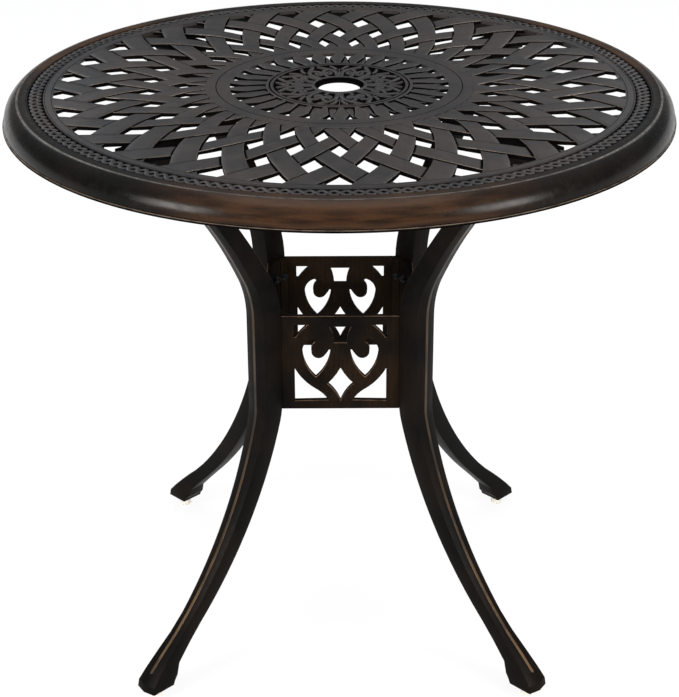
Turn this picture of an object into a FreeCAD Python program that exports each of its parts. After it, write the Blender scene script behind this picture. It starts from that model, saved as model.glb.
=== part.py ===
import FreeCAD, Part
import math
import os
import Sketcher
from FreeCAD import Placement, Rotation, Vector

# Round cast aluminium umbrella table: a woven openwork top on four bowed legs, which four
# scrolled waist panels hold together. Millimetres, +Z up, the front faces -Y, and the origin
# is on the floor under the middle of the top.

# The driving sizes, one row each: name, value, meaning.
SIZE_ROWS = [
    ("top_height", 722.0, "floor to the top face"),
    ("top_radius", 400.0, "bead at the foot of the rim, the widest line of the top"),
    ("rim_width", 19.0, "rim from the flat border to its foot"),
    ("rim_depth", 30.1, "top face to the lower edge of the rim"),
    ("rim_side_inset", 1.5, "side of the rim in from the bead at its foot"),
    ("rim_side_drop", 26.0, "top face to where the rim's round side ends"),
    ("rim_shoulder_inset", 15.95, "shoulder of the rim in from its foot"),
    ("rim_shoulder_drop", 1.0, "top face to the shoulder of the rim"),
    ("rim_side_bulge", 0.268, "roundness of the rim's side: tangent of a quarter of its arc"),
    ("rim_crown_bulge", 0.132, "roundness between the shoulder and the border, likewise"),
    ("rim_bead_height", 3.7, "upright bead at the foot of the rim"),
    ("rim_wall", 4.5, "wall of the rim"),
    ("plate_thickness", 5.0, "thickness of the top plate"),
    ("inlay_drop", 0.8, "how far the patterned zones lie below the plain rings"),
    ("border_width", 12.0, "plain border between the rim and the chain border"),
    ("chain_width", 18.0, "chain border"),
    ("ring_width", 11.3, "plain ring between the chain border and the woven zone"),
    ("weave_inner_radius", 160.6, "woven zone, inside"),
    ("leaf_outer_radius", 131.2, "leaf ring, outside"),
    ("leaf_inner_radius", 89.0, "leaf ring, inside"),
    ("scroll_outer_radius", 78.3, "scrolled medallion, outside"),
    ("hub_lip_width", 4.3, "lip round the umbrella hole"),
    ("hub_ledge_width", 4.1, "ledge in the recess for the plug ring of an umbrella"),
    ("hub_recess_depth", 4.2, "top face to the ledge of the recess"),
    ("hub_ledge_thickness", 2.5, "ledge that the umbrella pole passes through"),
    ("hub_skirt_depth", 8.0, "top face to the lower edge of the hub"),
    ("pole_hole_radius", 25.4, "two inch umbrella hole"),
    ("weave_count", 30.0, "diamond holes in one row"),
    ("weave_outer_share", 0.2, "outermost row of holes to the zone's edge, in rows"),
    ("weave_inner_share", 0.5, "innermost row of holes to the zone's edge, in rows"),
    ("weave_row_bow", 2.5, "how far the two middle rows lie inside of even spacing"),
    ("diamond_half_angle", 3.0, "half of a diamond round the table, degrees"),
    ("diamond_margin", 0.7, "tip of a diamond to half a row from its middle"),
    ("leaf_hole_margin", 0.7, "leaf ring's edge to the holes between leaf tips"),
    ("leaf_hole_length", 18.0, "hole between leaf tips, along the radius"),
    ("leaf_hole_half_angle", 3.4, "half of that hole round the table, degrees"),
    ("scroll_count", 8.0, "stems of the scrolled medallion"),
    ("scroll_bay_margin", 3.7, "hub to the opening between two stems"),
    ("scroll_bay_length", 14.5, "opening between two stems, along the radius"),
    ("scroll_bay_half_angle", 9.5, "half of that opening round the table, degrees"),
    ("scroll_slit_margin", 7.3, "slit beside a scroll to the medallion's outside"),
    ("scroll_slit_length", 16.0, "slit beside a scroll, along the radius"),
    ("scroll_slit_angle", 11.5, "slit away from its stem, degrees"),
    ("scroll_slit_half_angle", 1.9, "half of a slit round the table, degrees"),
    ("leg_axis_radius", 133.5, "leg axis at the waist"),
    ("leg_waist_width", 31.5, "leg section at the waist"),
    ("leg_ankle_width", 20.4, "leg section at the ankle"),
    ("leg_top_width", 27.0, "leg section under the top, round the table"),
    ("leg_top_depth", 23.5, "leg section under the top, across the curve"),
    ("leg_crown", 2.6, "how far the ridge stands out of the outer face"),
    ("waist_bottom", 340.0, "lower end of the straight waist"),
    ("waist_height", 118.0, "straight waist"),
    ("knee_bend_radius", 78.0, "first bend below the waist"),
    ("knee_bend_angle", 15.0, "turn of the first bend below the waist, degrees"),
    ("shin_radius", 534.0, "long curve down to the ankle"),
    ("ankle_angle", 44.0, "lean of the leg at the ankle, degrees"),
    ("shoulder_bend_radius", 120.7, "first bend above the waist"),
    ("shoulder_bend_angle", 27.8, "turn of the first bend above the waist, degrees"),
    ("arm_end_radius", 297.8, "middle of the leg's upper end"),
    ("arm_end_trim", 3.4, "what is trimmed off the leg's upper end"),
    ("arm_sweep", 18.8, "turn of the long curve up to the top, degrees"),
    ("foot_radius", 331.5, "middle of the foot's sole"),
    ("foot_length", 36.4, "sole along the radius"),
    ("foot_width", 32.0, "sole round the table"),
    ("foot_clearance", 14.7, "floor to the sole"),
    ("foot_rise", 16.5, "sole to the middle of the foot"),
    ("tab_inward", 35.8, "mounting tab from the leg's upper end towards the axis"),
    ("tab_outward", 26.2, "mounting tab from the leg's upper end outwards"),
    ("tab_half_width", 18.0, "half of the mounting tab's width"),
    ("tab_thickness", 8.0, "mounting tab"),
    ("boss_depth", 6.0, "pad under the plate that the tab is bolted to"),
    ("boss_margin", 2.0, "how far the pad reaches past the tab"),
    ("bolt_radius", 3.0, "M6 bolt, half of the thread's diameter"),
    ("bolt_length", 16.0, "M6 bolt below its head"),
    ("bolt_head_width", 10.0, "M6 bolt head across flats"),
    ("bolt_head_height", 4.0, "M6 bolt head"),
    ("bolt_washer_radius", 6.0, "M6 washer outside"),
    ("bolt_washer_thickness", 1.6, "M6 washer"),
    ("bolt_end_distance", 12.0, "bolts from the tab's outer end"),
    ("bolt_half_spacing", 11.0, "bolt from the leg's middle plane"),
    ("bolt_hole_slack", 0.3, "room round a bolt in the tab"),
    ("bolt_tip_room", 1.5, "room past the end of a bolt"),
    ("thread_clearance", 0.05, "radial room between a thread and its hole"),
    ("panel_drop", 8.0, "how far the panels reach below the straight waist"),
    ("panel_height", 127.0, "waist panel"),
    ("panel_thickness", 7.5, "waist panel wall"),
    ("ear_thickness", 8.0, "corner ear of a waist panel"),
    ("ear_split", 0.3, "half of the gap between two ears on one leg"),
    ("panel_seat_gap", 0.1, "room between an ear and its leg"),
    ("window_half_width", 57.4, "half of the openwork field of a panel"),
    ("window_bottom", 11.4, "lower frame rail of a panel"),
    ("window_height", 103.5, "openwork field of a panel"),
    ("screw_radius", 2.5, "M5 screw, half of the thread's diameter"),
    ("screw_length", 16.0, "M5 screw below its head"),
    ("screw_head_radius", 4.75, "M5 button head at its seat"),
    ("screw_crown_radius", 2.95, "M5 button head at its flat end"),
    ("screw_head_height", 2.75, "M5 button head"),
    ("screw_socket_width", 3.0, "hexagon socket across flats"),
    ("screw_socket_depth", 1.6, "hexagon socket"),
    ("screw_washer_radius", 5.0, "M5 washer outside"),
    ("screw_washer_thickness", 1.0, "M5 washer"),
    ("screw_half_offset", 6.6, "screw from the leg's middle plane"),
    ("screw_end_distance", 24.0, "screw from the panel's upper or lower edge"),
    ("glide_offset", 2.6, "glide from the middle of the sole, towards the axis"),
    ("glide_bottom_radius", 8.0, "nylon glide on the floor"),
    ("glide_edge", 1.2, "rounded edge of the glide"),
    ("glide_band", 3.5, "upright band of the glide"),
    ("glide_neck_radius", 5.6, "neck of the glide"),
    ("glide_neck_height", 10.5, "floor to the neck"),
    ("glide_foot_gap", 0.3, "room between the glide and the sole"),
    ("stud_radius", 4.0, "M8 stud, half of the thread's diameter"),
    ("stud_floor", 6.0, "floor to the stud's lower end"),
    ("stud_length", 27.0, "M8 stud"),
    ("stud_chamfer", 0.8, "stud's tapered tip"),
    ("stud_tip_room", 2.0, "room past the end of the stud"),
]

# Sizes that follow from the ones above
DERIVED_ROWS = [
    ("ridge_radius", "=top_radius - rim_width", "where the flat border turns into the rim"),
    ("chain_outer_radius", "=ridge_radius - border_width", "chain border, outside"),
    ("chain_inner_radius", "=chain_outer_radius - chain_width", "chain border, inside"),
    ("weave_outer_radius", "=chain_inner_radius - ring_width", "woven zone, outside"),
    ("weave_row_step", "=(weave_outer_radius - weave_inner_radius) "
     "/ (3 + weave_outer_share + weave_inner_share)", "distance between two of the four rows"),
    ("hub_recess_radius", "=pole_hole_radius + hub_ledge_width", "recess of the hub"),
    ("hub_radius", "=hub_recess_radius + hub_lip_width", "outside of the hub"),
    ("leaf_hole_radius", "=leaf_outer_radius - leaf_hole_margin", "holes between leaf tips"),
    ("scroll_bay_inner_radius", "=hub_radius + scroll_bay_margin", "bay between two stems"),
    ("scroll_slit_outer_radius", "=scroll_outer_radius - scroll_slit_margin", "slit, outer end"),
    ("waist_top", "=waist_bottom + waist_height", "upper end of the straight waist"),
    ("panel_bottom", "=waist_bottom - panel_drop", "floor to the waist panels"),
    ("tab_top", "=top_height - plate_thickness - boss_depth", "joint between legs and top"),
    ("tab_inner_radius", "=arm_end_radius - tab_inward", "mounting tab, inner end"),
    ("tab_outer_radius", "=arm_end_radius + tab_outward", "mounting tab, outer end"),
    ("bolt_circle_radius", "=tab_outer_radius - bolt_end_distance", "bolts from the axis"),
    ("glide_radius", "=foot_radius - glide_offset", "glides from the axis"),
]

# Which way each leg points, in degrees from +X
LEGS = {"leg_front_left": -135.0, "leg_front_right": -45.0,
        "leg_back_right": 45.0, "leg_back_left": 135.0}

doc = FreeCAD.newDocument("umbrella_table")
sheet = doc.addObject("Spreadsheet::Sheet", "Sizes")
for row, (name, value, meaning) in enumerate(SIZE_ROWS + DERIVED_ROWS, start=1):
    sheet.set(f"A{row}", name)
    sheet.set(f"B{row}", str(value))
    sheet.set(f"C{row}", meaning)
    sheet.setAlias(f"B{row}", name)
doc.recompute()


class Size:
    """A number together with the expression on the size sheet that gives it."""

    def __init__(self, value, text):
        self.value = float(value)
        self.text = text

    def __add__(self, other):
        other = size_of(other)
        return Size(self.value + other.value, f"({self.text} + {other.text})")

    def __sub__(self, other):
        other = size_of(other)
        return Size(self.value - other.value, f"({self.text} - {other.text})")

    def __mul__(self, other):
        other = size_of(other)
        return Size(self.value * other.value, f"{self.text} * {other.text}")

    def __truediv__(self, other):
        other = size_of(other)
        return Size(self.value / other.value, f"{self.text} / ({other.text})")

    def __neg__(self):
        return Size(-self.value, f"(0 - {self.text})")


def size_of(number):
    """A plain number as a size."""
    if isinstance(number, Size):
        return number
    return Size(number, f"{number:.7f}" if number >= 0 else f"(0 - {-number:.7f})")


def named(alias):
    """The size with this name on the sheet."""
    return Size(float(sheet.get(alias)), f"Sizes.{alias}")


def cosine(degrees):
    """Cosine of an angle in degrees."""
    degrees = size_of(degrees)
    return Size(math.cos(math.radians(degrees.value)), f"cos(({degrees.text}) * 1 deg)")


def sine(degrees):
    """Sine of an angle in degrees."""
    degrees = size_of(degrees)
    return Size(math.sin(math.radians(degrees.value)), f"sin(({degrees.text}) * 1 deg)")


def lean_of(across, along):
    """Lean of a line off the vertical, in degrees, from its two parts."""
    value = math.degrees(math.atan2(across.value, along.value))
    return Size(value, f"(atan2({across.text}; {along.text}) / (1 deg))")


def distance(first, second):
    """Distance between two points of an outline."""
    across = size_of(second[0]) - first[0]
    along = size_of(second[1]) - first[1]
    value = math.hypot(across.value, along.value)
    return Size(value, f"sqrt(({across.text})^2 + ({along.text})^2)")


def origin_feature(body, role):
    """Plane or axis of a body's own origin."""
    for feature in body.Origin.OriginFeatures:
        if feature.Role == role:
            return feature


def new_body(label, turn=0.0):
    """A body for one sub-part, turned about the table's axis."""
    body = doc.addObject("PartDesign::Body", label)
    body.Label = label
    body.Placement = Placement(Vector(0, 0, 0), Rotation(Vector(0, 0, 1), turn))
    return body


def new_sketch(body, name, plane="XY_Plane", place=(0, 0, 0), axis=(0, 0, 1), turn=0.0):
    """A sketch on one of the body's origin planes, moved by place and turned about axis."""
    sketch = body.newObject("Sketcher::SketchObject", f"{body.Name}_{name}")
    sketch.AttachmentSupport = (origin_feature(body, plane), [""])
    sketch.MapMode = "FlatFace"
    place = [size_of(part) for part in place]
    turn = size_of(turn)
    base = Vector(*[part.value for part in place])
    sketch.AttachmentOffset = Placement(base, Rotation(Vector(*axis), turn.value))
    for letter, part in zip("xyz", place):
        sketch.setExpression(f"AttachmentOffset.Base.{letter}", part.text)
    if turn.value:
        sketch.setExpression("AttachmentOffset.Rotation.Angle", turn.text)
    return sketch


def hold(sketch, held):
    """Add constraints, given as (constraint, the size that drives it or None)."""
    first = sketch.ConstraintCount
    sketch.addConstraint([constraint for constraint, size in held])
    for number, (constraint, size) in enumerate(held, start=first):
        if size is not None:
            sketch.setExpression(f"Constraints[{number}]", size.text)


def pins(edge, end, point):
    """The two constraints that hold one end of an edge at a point of the sketch."""
    held = []
    for kind, coordinate in zip(("DistanceX", "DistanceY"), point):
        coordinate = size_of(coordinate)
        held.append((Sketcher.Constraint(kind, -1, 1, edge, end, coordinate.value), coordinate))
    return held


def draw_outline(sketch, points):
    """A closed outline. A point is (x, y) or (x, y, bulge), where bulge makes the edge after it
    an arc: the tangent of a quarter of its sweep, positive for a turn to the left."""
    first_edge = sketch.GeometryCount
    start_ends = []
    for index, point in enumerate(points):
        after = points[(index + 1) % len(points)]
        start = Vector(size_of(point[0]).value, size_of(point[1]).value, 0)
        end = Vector(size_of(after[0]).value, size_of(after[1]).value, 0)
        bulge = point[2] if len(point) == 3 else 0.0
        if bulge:
            start_ends.append(draw_arc(sketch, start, end, bulge))
        else:
            sketch.addGeometry(Part.LineSegment(start, end), False)
            start_ends.append(1)
    held = []
    for index, point in enumerate(points):
        edge = first_edge + index
        before = first_edge + (index - 1) % len(points)
        before_end = 3 - start_ends[(index - 1) % len(points)]
        held.extend(pins(edge, start_ends[index], point[:2]))
        held.append((Sketcher.Constraint("Coincident", before, before_end,
                                         edge, start_ends[index]), None))
        if len(point) == 3:
            chord = distance(point, points[(index + 1) % len(points)])
            radius = chord * ((1 + point[2] ** 2) / (4 * abs(point[2])))
            held.append((Sketcher.Constraint("Radius", edge, radius.value), radius))
    hold(sketch, held)


def draw_arc(sketch, start, end, bulge):
    """An arc between two points. It returns which end of the edge lies at the start."""
    chord = end - start
    radius = chord.Length * (1 + bulge ** 2) / (4 * abs(bulge))
    left = Vector(-chord.y, chord.x, 0) / chord.Length
    offset = chord.Length * (1 - bulge ** 2) / (4 * bulge)
    centre = (start + end) / 2 + left * offset
    if bulge < 0:
        start, end = end, start
    first_angle = math.atan2(start.y - centre.y, start.x - centre.x)
    last_angle = math.atan2(end.y - centre.y, end.x - centre.x)
    if last_angle < first_angle:
        last_angle += 2 * math.pi
    circle = Part.Circle(centre, Vector(0, 0, 1), radius)
    sketch.addGeometry(Part.ArcOfCircle(circle, first_angle, last_angle), False)
    return 1 if bulge > 0 else 2


def draw_circle(sketch, x, y, radius):
    """A circle held at a point."""
    x, y, radius = size_of(x), size_of(y), size_of(radius)
    edge = sketch.addGeometry(
        Part.Circle(Vector(x.value, y.value, 0), Vector(0, 0, 1), radius.value), False)
    hold(sketch, pins(edge, 3, (x, y))
         + [(Sketcher.Constraint("Radius", edge, radius.value), radius)])


def new_feature(body, kind, name, sketch):
    """A PartDesign feature that uses a sketch."""
    feature = body.newObject(f"PartDesign::{kind}", f"{body.Name}_{name}")
    feature.Profile = sketch
    feature.Refine = False
    return feature


def pad(body, name, sketch, length, backwards=False):
    """A pad of a sketch."""
    feature = new_feature(body, "Pad", name, sketch)
    feature.setExpression("Length", size_of(length).text)
    feature.Reversed = backwards
    doc.recompute()
    return feature


def cut(body, name, sketch, depth=None, backwards=False):
    """A pocket of a sketch, right through both ways when no depth is given."""
    volume = body.Shape.Volume
    feature = new_feature(body, "Pocket", name, sketch)
    if depth is None:
        feature.Type = "ThroughAll"
        feature.Midplane = True
    else:
        feature.setExpression("Length", size_of(depth).text)
        feature.Reversed = backwards
    doc.recompute()
    if body.Shape.Volume > volume - 1.0:
        raise RuntimeError(f"{feature.Name} cuts nothing")
    return feature


def repeat_round(body, name, features, count):
    """Copies of some features round the body's Z axis."""
    volume = body.Shape.Volume
    pattern = body.newObject("PartDesign::PolarPattern", f"{body.Name}_{name}")
    pattern.Originals = features
    pattern.Refine = False
    pattern.Axis = (origin_feature(body, "Z_Axis"), [""])
    pattern.Angle = 360.0
    pattern.setExpression("Occurrences", size_of(count).text)
    body.Tip = pattern
    doc.recompute()
    if abs(body.Shape.Volume - volume) < 1.0:
        raise RuntimeError(f"{pattern.Name} adds no copies")
    return pattern


def make_ring(maker, turns):
    """The same casting in several places round the table: a body, and turned copies of it."""
    labels = list(turns)
    first = maker(labels[0], turns[labels[0]])
    pieces = [first]
    for label in labels[1:]:
        copy = doc.addObject("Part::Compound", label)
        copy.Label = label
        copy.Links = [first]
        copy.Placement = Placement(
            Vector(0, 0, 0), Rotation(Vector(0, 0, 1), turns[label] - turns[labels[0]]))
        pieces.append(copy)
    return pieces


def polar(radius, degrees):
    """A point of a sketch in the XY plane, with the angle counted from the front, -Y."""
    return (size_of(radius) * sine(degrees), -(size_of(radius) * cosine(degrees)))


# Bulges of the three sides of an opening between two stems of the medallion
BAY_BULGES = (0.12, 0.35, 0.35)


# The woven top
def make_table_top():
    body = new_body("table_top")
    revolve_top(body)
    add_bosses(body)
    cut_lattice(body)
    cut_scrolls(body)
    return body


def revolve_top(body):
    """Plate, rings, hub and rim turned as one shell."""
    face = named("top_height")
    inlay = face - named("inlay_drop")
    plate_bottom = face - named("plate_thickness")
    ledge_top = face - named("hub_recess_depth")
    ledge_bottom = ledge_top - named("hub_ledge_thickness")
    skirt_bottom = face - named("hub_skirt_depth")
    rim_bottom = face - named("rim_depth")
    bead_top = rim_bottom + named("rim_bead_height")
    wall = named("rim_wall")
    side = named("top_radius") - named("rim_side_inset")
    side_end = face - named("rim_side_drop")
    shoulder = named("top_radius") - named("rim_shoulder_inset")
    shoulder_height = face - named("rim_shoulder_drop")
    # The rim leans this far from the level at its shoulder.
    shoulder_lean = 30.0
    shoulder_inside = shoulder - wall * sine(shoulder_lean)
    inside_height = shoulder_height - wall * cosine(shoulder_lean)
    side_bulge = named("rim_side_bulge").value
    crown_bulge = named("rim_crown_bulge").value
    profile = [
        (named("pole_hole_radius"), ledge_bottom),
        (named("hub_recess_radius"), ledge_bottom),
        (named("hub_recess_radius"), skirt_bottom),
        (named("hub_radius"), skirt_bottom),
        (named("hub_radius"), plate_bottom),
        (named("ridge_radius"), plate_bottom),
        (shoulder_inside, inside_height, -side_bulge),
        (side - wall, side_end),
        (side - wall, rim_bottom),
        (named("top_radius"), rim_bottom),
        (named("top_radius"), bead_top),
        (side, side_end, side_bulge),
        (shoulder, shoulder_height, crown_bulge),
        (named("ridge_radius"), face),
        (named("chain_outer_radius"), face),
        (named("chain_outer_radius"), inlay),
        (named("chain_inner_radius"), inlay),
        (named("chain_inner_radius"), face),
        (named("weave_outer_radius"), face),
        (named("weave_outer_radius"), inlay),
        (named("weave_inner_radius"), inlay),
        (named("weave_inner_radius"), face),
        (named("leaf_outer_radius"), face),
        (named("leaf_outer_radius"), inlay),
        (named("leaf_inner_radius"), inlay),
        (named("leaf_inner_radius"), face),
        (named("scroll_outer_radius"), face),
        (named("scroll_outer_radius"), inlay),
        (named("hub_radius"), inlay),
        (named("hub_radius"), face),
        (named("hub_recess_radius"), face),
        (named("hub_recess_radius"), ledge_top),
        (named("pole_hole_radius"), ledge_top),
    ]
    sketch = new_sketch(body, "profile", "XZ_Plane")
    draw_outline(sketch, profile)
    shell = new_feature(body, "Revolution", "shell", sketch)
    shell.ReferenceAxis = (sketch, ["V_Axis"])
    shell.Angle = 360.0
    doc.recompute()


def cut_lattice(body):
    """The holes of the woven zone and the leaf ring. They end at the plate's lower face, so that
    the bosses below it stay whole."""
    sketch = new_sketch(body, "lattice", place=(0, 0, named("top_height")))
    draw_diamonds(sketch)
    draw_leaf_gap(sketch)
    holes = cut(body, "lattice_holes", sketch, named("plate_thickness"))
    repeat_round(body, "lattice_pattern", [holes], named("weave_count"))


def draw_diamonds(sketch):
    """Four rows of diamond holes between the woven strips. The outer row is cut off by the ring."""
    step = named("weave_row_step")
    half_length = step / 2 - named("diamond_margin")
    half_angle = named("diamond_half_angle")
    pitch = size_of(360.0) / named("weave_count")
    ring = named("weave_outer_radius")
    outer_row = ring - step * named("weave_outer_share")
    left_over = size_of(1.0) - (ring - outer_row) / half_length
    draw_outline(sketch, [
        polar(outer_row - half_length, 0),
        polar(outer_row, half_angle),
        polar(ring, half_angle * left_over),
        polar(ring, -(half_angle * left_over)),
        polar(outer_row, -half_angle),
    ])
    for row in (1, 2, 3):
        bow = named("weave_row_bow") * (row * (3 - row) / 2)
        radius = outer_row - step * row - bow
        angle = pitch * (row % 2) / 2
        draw_outline(sketch, [
            polar(radius - half_length, angle),
            polar(radius, angle + half_angle),
            polar(radius + half_length, angle),
            polar(radius, angle - half_angle),
        ])


def draw_leaf_gap(sketch):
    """A small three-cornered hole between the tips of two leaves."""
    outer = named("leaf_hole_radius")
    half_angle = named("leaf_hole_half_angle")
    middle = size_of(180.0) / named("weave_count")
    draw_outline(sketch, [
        polar(outer - named("leaf_hole_length"), middle),
        polar(outer, middle + half_angle),
        polar(outer, middle - half_angle),
    ])


def cut_scrolls(body):
    """Openings of the medallion: a bay between two stems, and a slit on each side of a stem."""
    sketch = new_sketch(body, "scrolls", place=(0, 0, named("top_height")))
    middle = size_of(180.0) / named("scroll_count")
    inner = named("scroll_bay_inner_radius")
    outer = inner + named("scroll_bay_length")
    half_angle = named("scroll_bay_half_angle")
    corners = (polar(inner, middle - half_angle), polar(inner, middle + half_angle),
               polar(outer, middle))
    draw_outline(sketch, [(*corner, bulge) for corner, bulge in zip(corners, BAY_BULGES)])
    slit_outer = named("scroll_slit_outer_radius")
    slit_inner = slit_outer - named("scroll_slit_length")
    slit_half = named("scroll_slit_half_angle")
    for side in (-1, 1):
        angle = named("scroll_slit_angle") * side
        draw_outline(sketch, [
            polar(slit_inner, angle),
            polar((slit_inner + slit_outer) / 2, angle + slit_half),
            polar(slit_outer, angle),
            polar((slit_inner + slit_outer) / 2, angle - slit_half),
        ])
    holes = cut(body, "scroll_holes", sketch, named("plate_thickness"))
    repeat_round(body, "medallion", [holes], named("scroll_count"))


def add_bosses(body):
    """Pads under the plate for the four legs, each with two threaded holes."""
    plate_bottom = named("top_height") - named("plate_thickness")
    margin = named("boss_margin")
    inner = named("tab_inner_radius") - margin
    outer = named("tab_outer_radius") + margin
    half_width = named("tab_half_width") + margin
    sketch = new_sketch(body, "boss", place=(0, 0, plate_bottom), turn=45.0)
    draw_outline(sketch, [(inner, -half_width), (outer, -half_width),
                          (outer, half_width), (inner, half_width)])
    boss = pad(body, "boss_pad", sketch, named("boss_depth"), backwards=True)
    boss_bottom = plate_bottom - named("boss_depth")
    hole_sketch = new_sketch(body, "threads", place=(0, 0, boss_bottom), turn=45.0)
    for side in (-1, 1):
        draw_circle(hole_sketch, named("bolt_circle_radius"), named("bolt_half_spacing") * side,
                    named("bolt_radius"))
    grip = named("bolt_length") - named("bolt_washer_thickness") - named("tab_thickness")
    holes = cut(body, "thread_holes", hole_sketch, grip + named("bolt_tip_room"), backwards=True)
    repeat_round(body, "boss_pattern", [boss, holes], len(LEGS))


# The bowed legs. In a leg's own frame X points away from the table's axis.
SHIN_STATIONS = 10
ARM_STATIONS = 8


def blend(first, last, share):
    """A size part of the way from one size to another."""
    return first + (size_of(last) - first) * share


def leg_stations():
    """Sections of a leg from the sole to the top: radius, height, lean, depth, width."""
    return foot_stations() + shin_stations() + waist_stations() + arm_stations()


def shin_stations():
    """The long curve from the ankle up to the waist, and half of the bend at its upper end."""
    axis, bottom = named("leg_axis_radius"), named("waist_bottom")
    knee, shin = named("knee_bend_radius"), named("shin_radius")
    knee_angle, ankle_angle = named("knee_bend_angle"), named("ankle_angle")
    waist, ankle = named("leg_waist_width"), named("leg_ankle_width")
    stations = []
    for number in range(SHIN_STATIONS, -1, -1):
        share = number / SHIN_STATIONS
        angle = blend(knee_angle, ankle_angle, share)
        radius = axis + knee * (size_of(1) - cosine(knee_angle)) \
            + shin * (cosine(knee_angle) - cosine(angle))
        height = bottom - knee * sine(knee_angle) - shin * (sine(angle) - sine(knee_angle))
        width = blend(waist, ankle, 0.07 + 0.93 * share)
        stations.append((radius, height, -angle, width, width))
    half = knee_angle / 2
    width = blend(waist, ankle, 0.035)
    stations.append((axis + knee * (size_of(1) - cosine(half)), bottom - knee * sine(half),
                     -half, width, width))
    return stations


def foot_stations():
    """The foot, from its level sole to the instep."""
    ankle_radius, ankle_height, ankle_lean, ankle, _ = shin_stations()[0]
    sole, sole_radius = named("foot_clearance"), named("foot_radius")
    width, length = named("foot_width"), named("foot_length")
    rise = named("foot_rise")
    # The shares below shape the foot between the sole, its middle and the ankle.
    return [
        (sole_radius, sole, size_of(0), length, width),
        (sole_radius - length * 0.06, sole + rise * 0.45, ankle_lean * 0.14, length * 1.02, width),
        (sole_radius - length * 0.29, sole + rise, ankle_lean * 0.45,
         length * 0.91, blend(width, ankle, 0.25)),
        (blend(sole_radius, ankle_radius, 0.36), blend(sole, ankle_height, 0.45),
         ankle_lean * 0.93, blend(length, ankle, 0.84), blend(width, ankle, 0.6)),
        (blend(sole_radius, ankle_radius, 0.69), blend(sole, ankle_height, 0.725),
         ankle_lean, ankle, blend(width, ankle, 0.88)),
    ]


def waist_stations():
    """The straight waist that the panels are screwed to."""
    axis, waist = named("leg_axis_radius"), named("leg_waist_width")
    return [(axis, named(height), size_of(0), waist, waist)
            for height in ("waist_bottom", "waist_top")]


def arm_stations():
    """The bend above the waist and the long curve up to the top, an arc over its chord."""
    axis, start = named("leg_axis_radius"), named("waist_top")
    shoulder, shoulder_angle = named("shoulder_bend_radius"), named("shoulder_bend_angle")
    waist, width, depth = named("leg_waist_width"), named("leg_top_width"), named("leg_top_depth")
    stations = []
    for share in (0.33, 0.67):
        angle = shoulder_angle * share
        stations.append((axis + shoulder * (size_of(1) - cosine(angle)),
                         start + shoulder * sine(angle), angle,
                         blend(waist, depth, 0.5 * share ** 2), blend(waist, width, 0.3 * share)))
    first_radius = axis + shoulder * (size_of(1) - cosine(shoulder_angle))
    first_height = start + shoulder * sine(shoulder_angle)
    across = named("arm_end_radius") - first_radius
    along = named("tab_top") + named("arm_end_trim") - first_height
    lean = lean_of(across, along)
    chord = distance((0, 0), (across, along))
    half_sweep = named("arm_sweep") / 2
    arc_radius = chord / (sine(half_sweep) * 2)
    for number in range(ARM_STATIONS + 1):
        share = number / ARM_STATIONS
        turned = half_sweep * (2 * share - 1)
        angle = lean + turned
        # The arc's place over the chord: how far along it, and how far beside it
        passed = arc_radius * (sine(half_sweep) + sine(turned))
        beside = arc_radius * (cosine(turned) - cosine(half_sweep))
        stations.append((first_radius + passed * sine(lean) - beside * cosine(lean),
                         first_height + passed * cosine(lean) + beside * sine(lean),
                         angle, blend(waist, depth, min(1.0, 0.55 + 1.6 * share)),
                         blend(waist, width, min(1.0, 0.35 + 1.3 * share))))
    return stations


def section_sketch(body, name, station):
    """Section of a leg: a square whose outer side is raised to a ridge."""
    radius, height, lean, depth, width = station
    sketch = new_sketch(body, name, place=(radius, 0, height), axis=(0, 1, 0), turn=lean)
    half_depth, half_width = depth / 2, width / 2
    shoulder = half_depth - named("leg_crown")
    draw_outline(sketch, [
        (-half_depth, -half_width),
        (shoulder, -half_width),
        (half_depth, 0),
        (shoulder, half_width),
        (-half_depth, half_width),
    ])
    return sketch


def make_leg(label, turn):
    body = new_body(label, turn)
    sketches = [section_sketch(body, f"section_{number}", station)
                for number, station in enumerate(leg_stations())]
    shaft = new_feature(body, "AdditiveLoft", "shaft", sketches[0])
    shaft.Sections = sketches[1:]
    shaft.Ruled = True
    add_tab(body)
    drill_leg(body)
    return body


def add_tab(body):
    """Flat tab on the leg's upper end, with the leg trimmed level with it."""
    inner, outer = named("tab_inner_radius"), named("tab_outer_radius")
    half_width = named("tab_half_width")
    sketch = new_sketch(body, "tab", place=(0, 0, named("tab_top")))
    draw_outline(sketch, [(inner, -half_width), (outer, -half_width),
                          (outer, half_width), (inner, half_width)])
    pad(body, "tab_pad", sketch, named("tab_thickness"), backwards=True)
    trim = new_sketch(body, "trim", place=(0, 0, named("tab_top")))
    margin = named("leg_waist_width")
    draw_outline(trim, [(inner - margin, -margin), (outer + margin, -margin),
                        (outer + margin, margin), (inner - margin, margin)])
    cut(body, "tab_trim", trim, margin, backwards=True)


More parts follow.
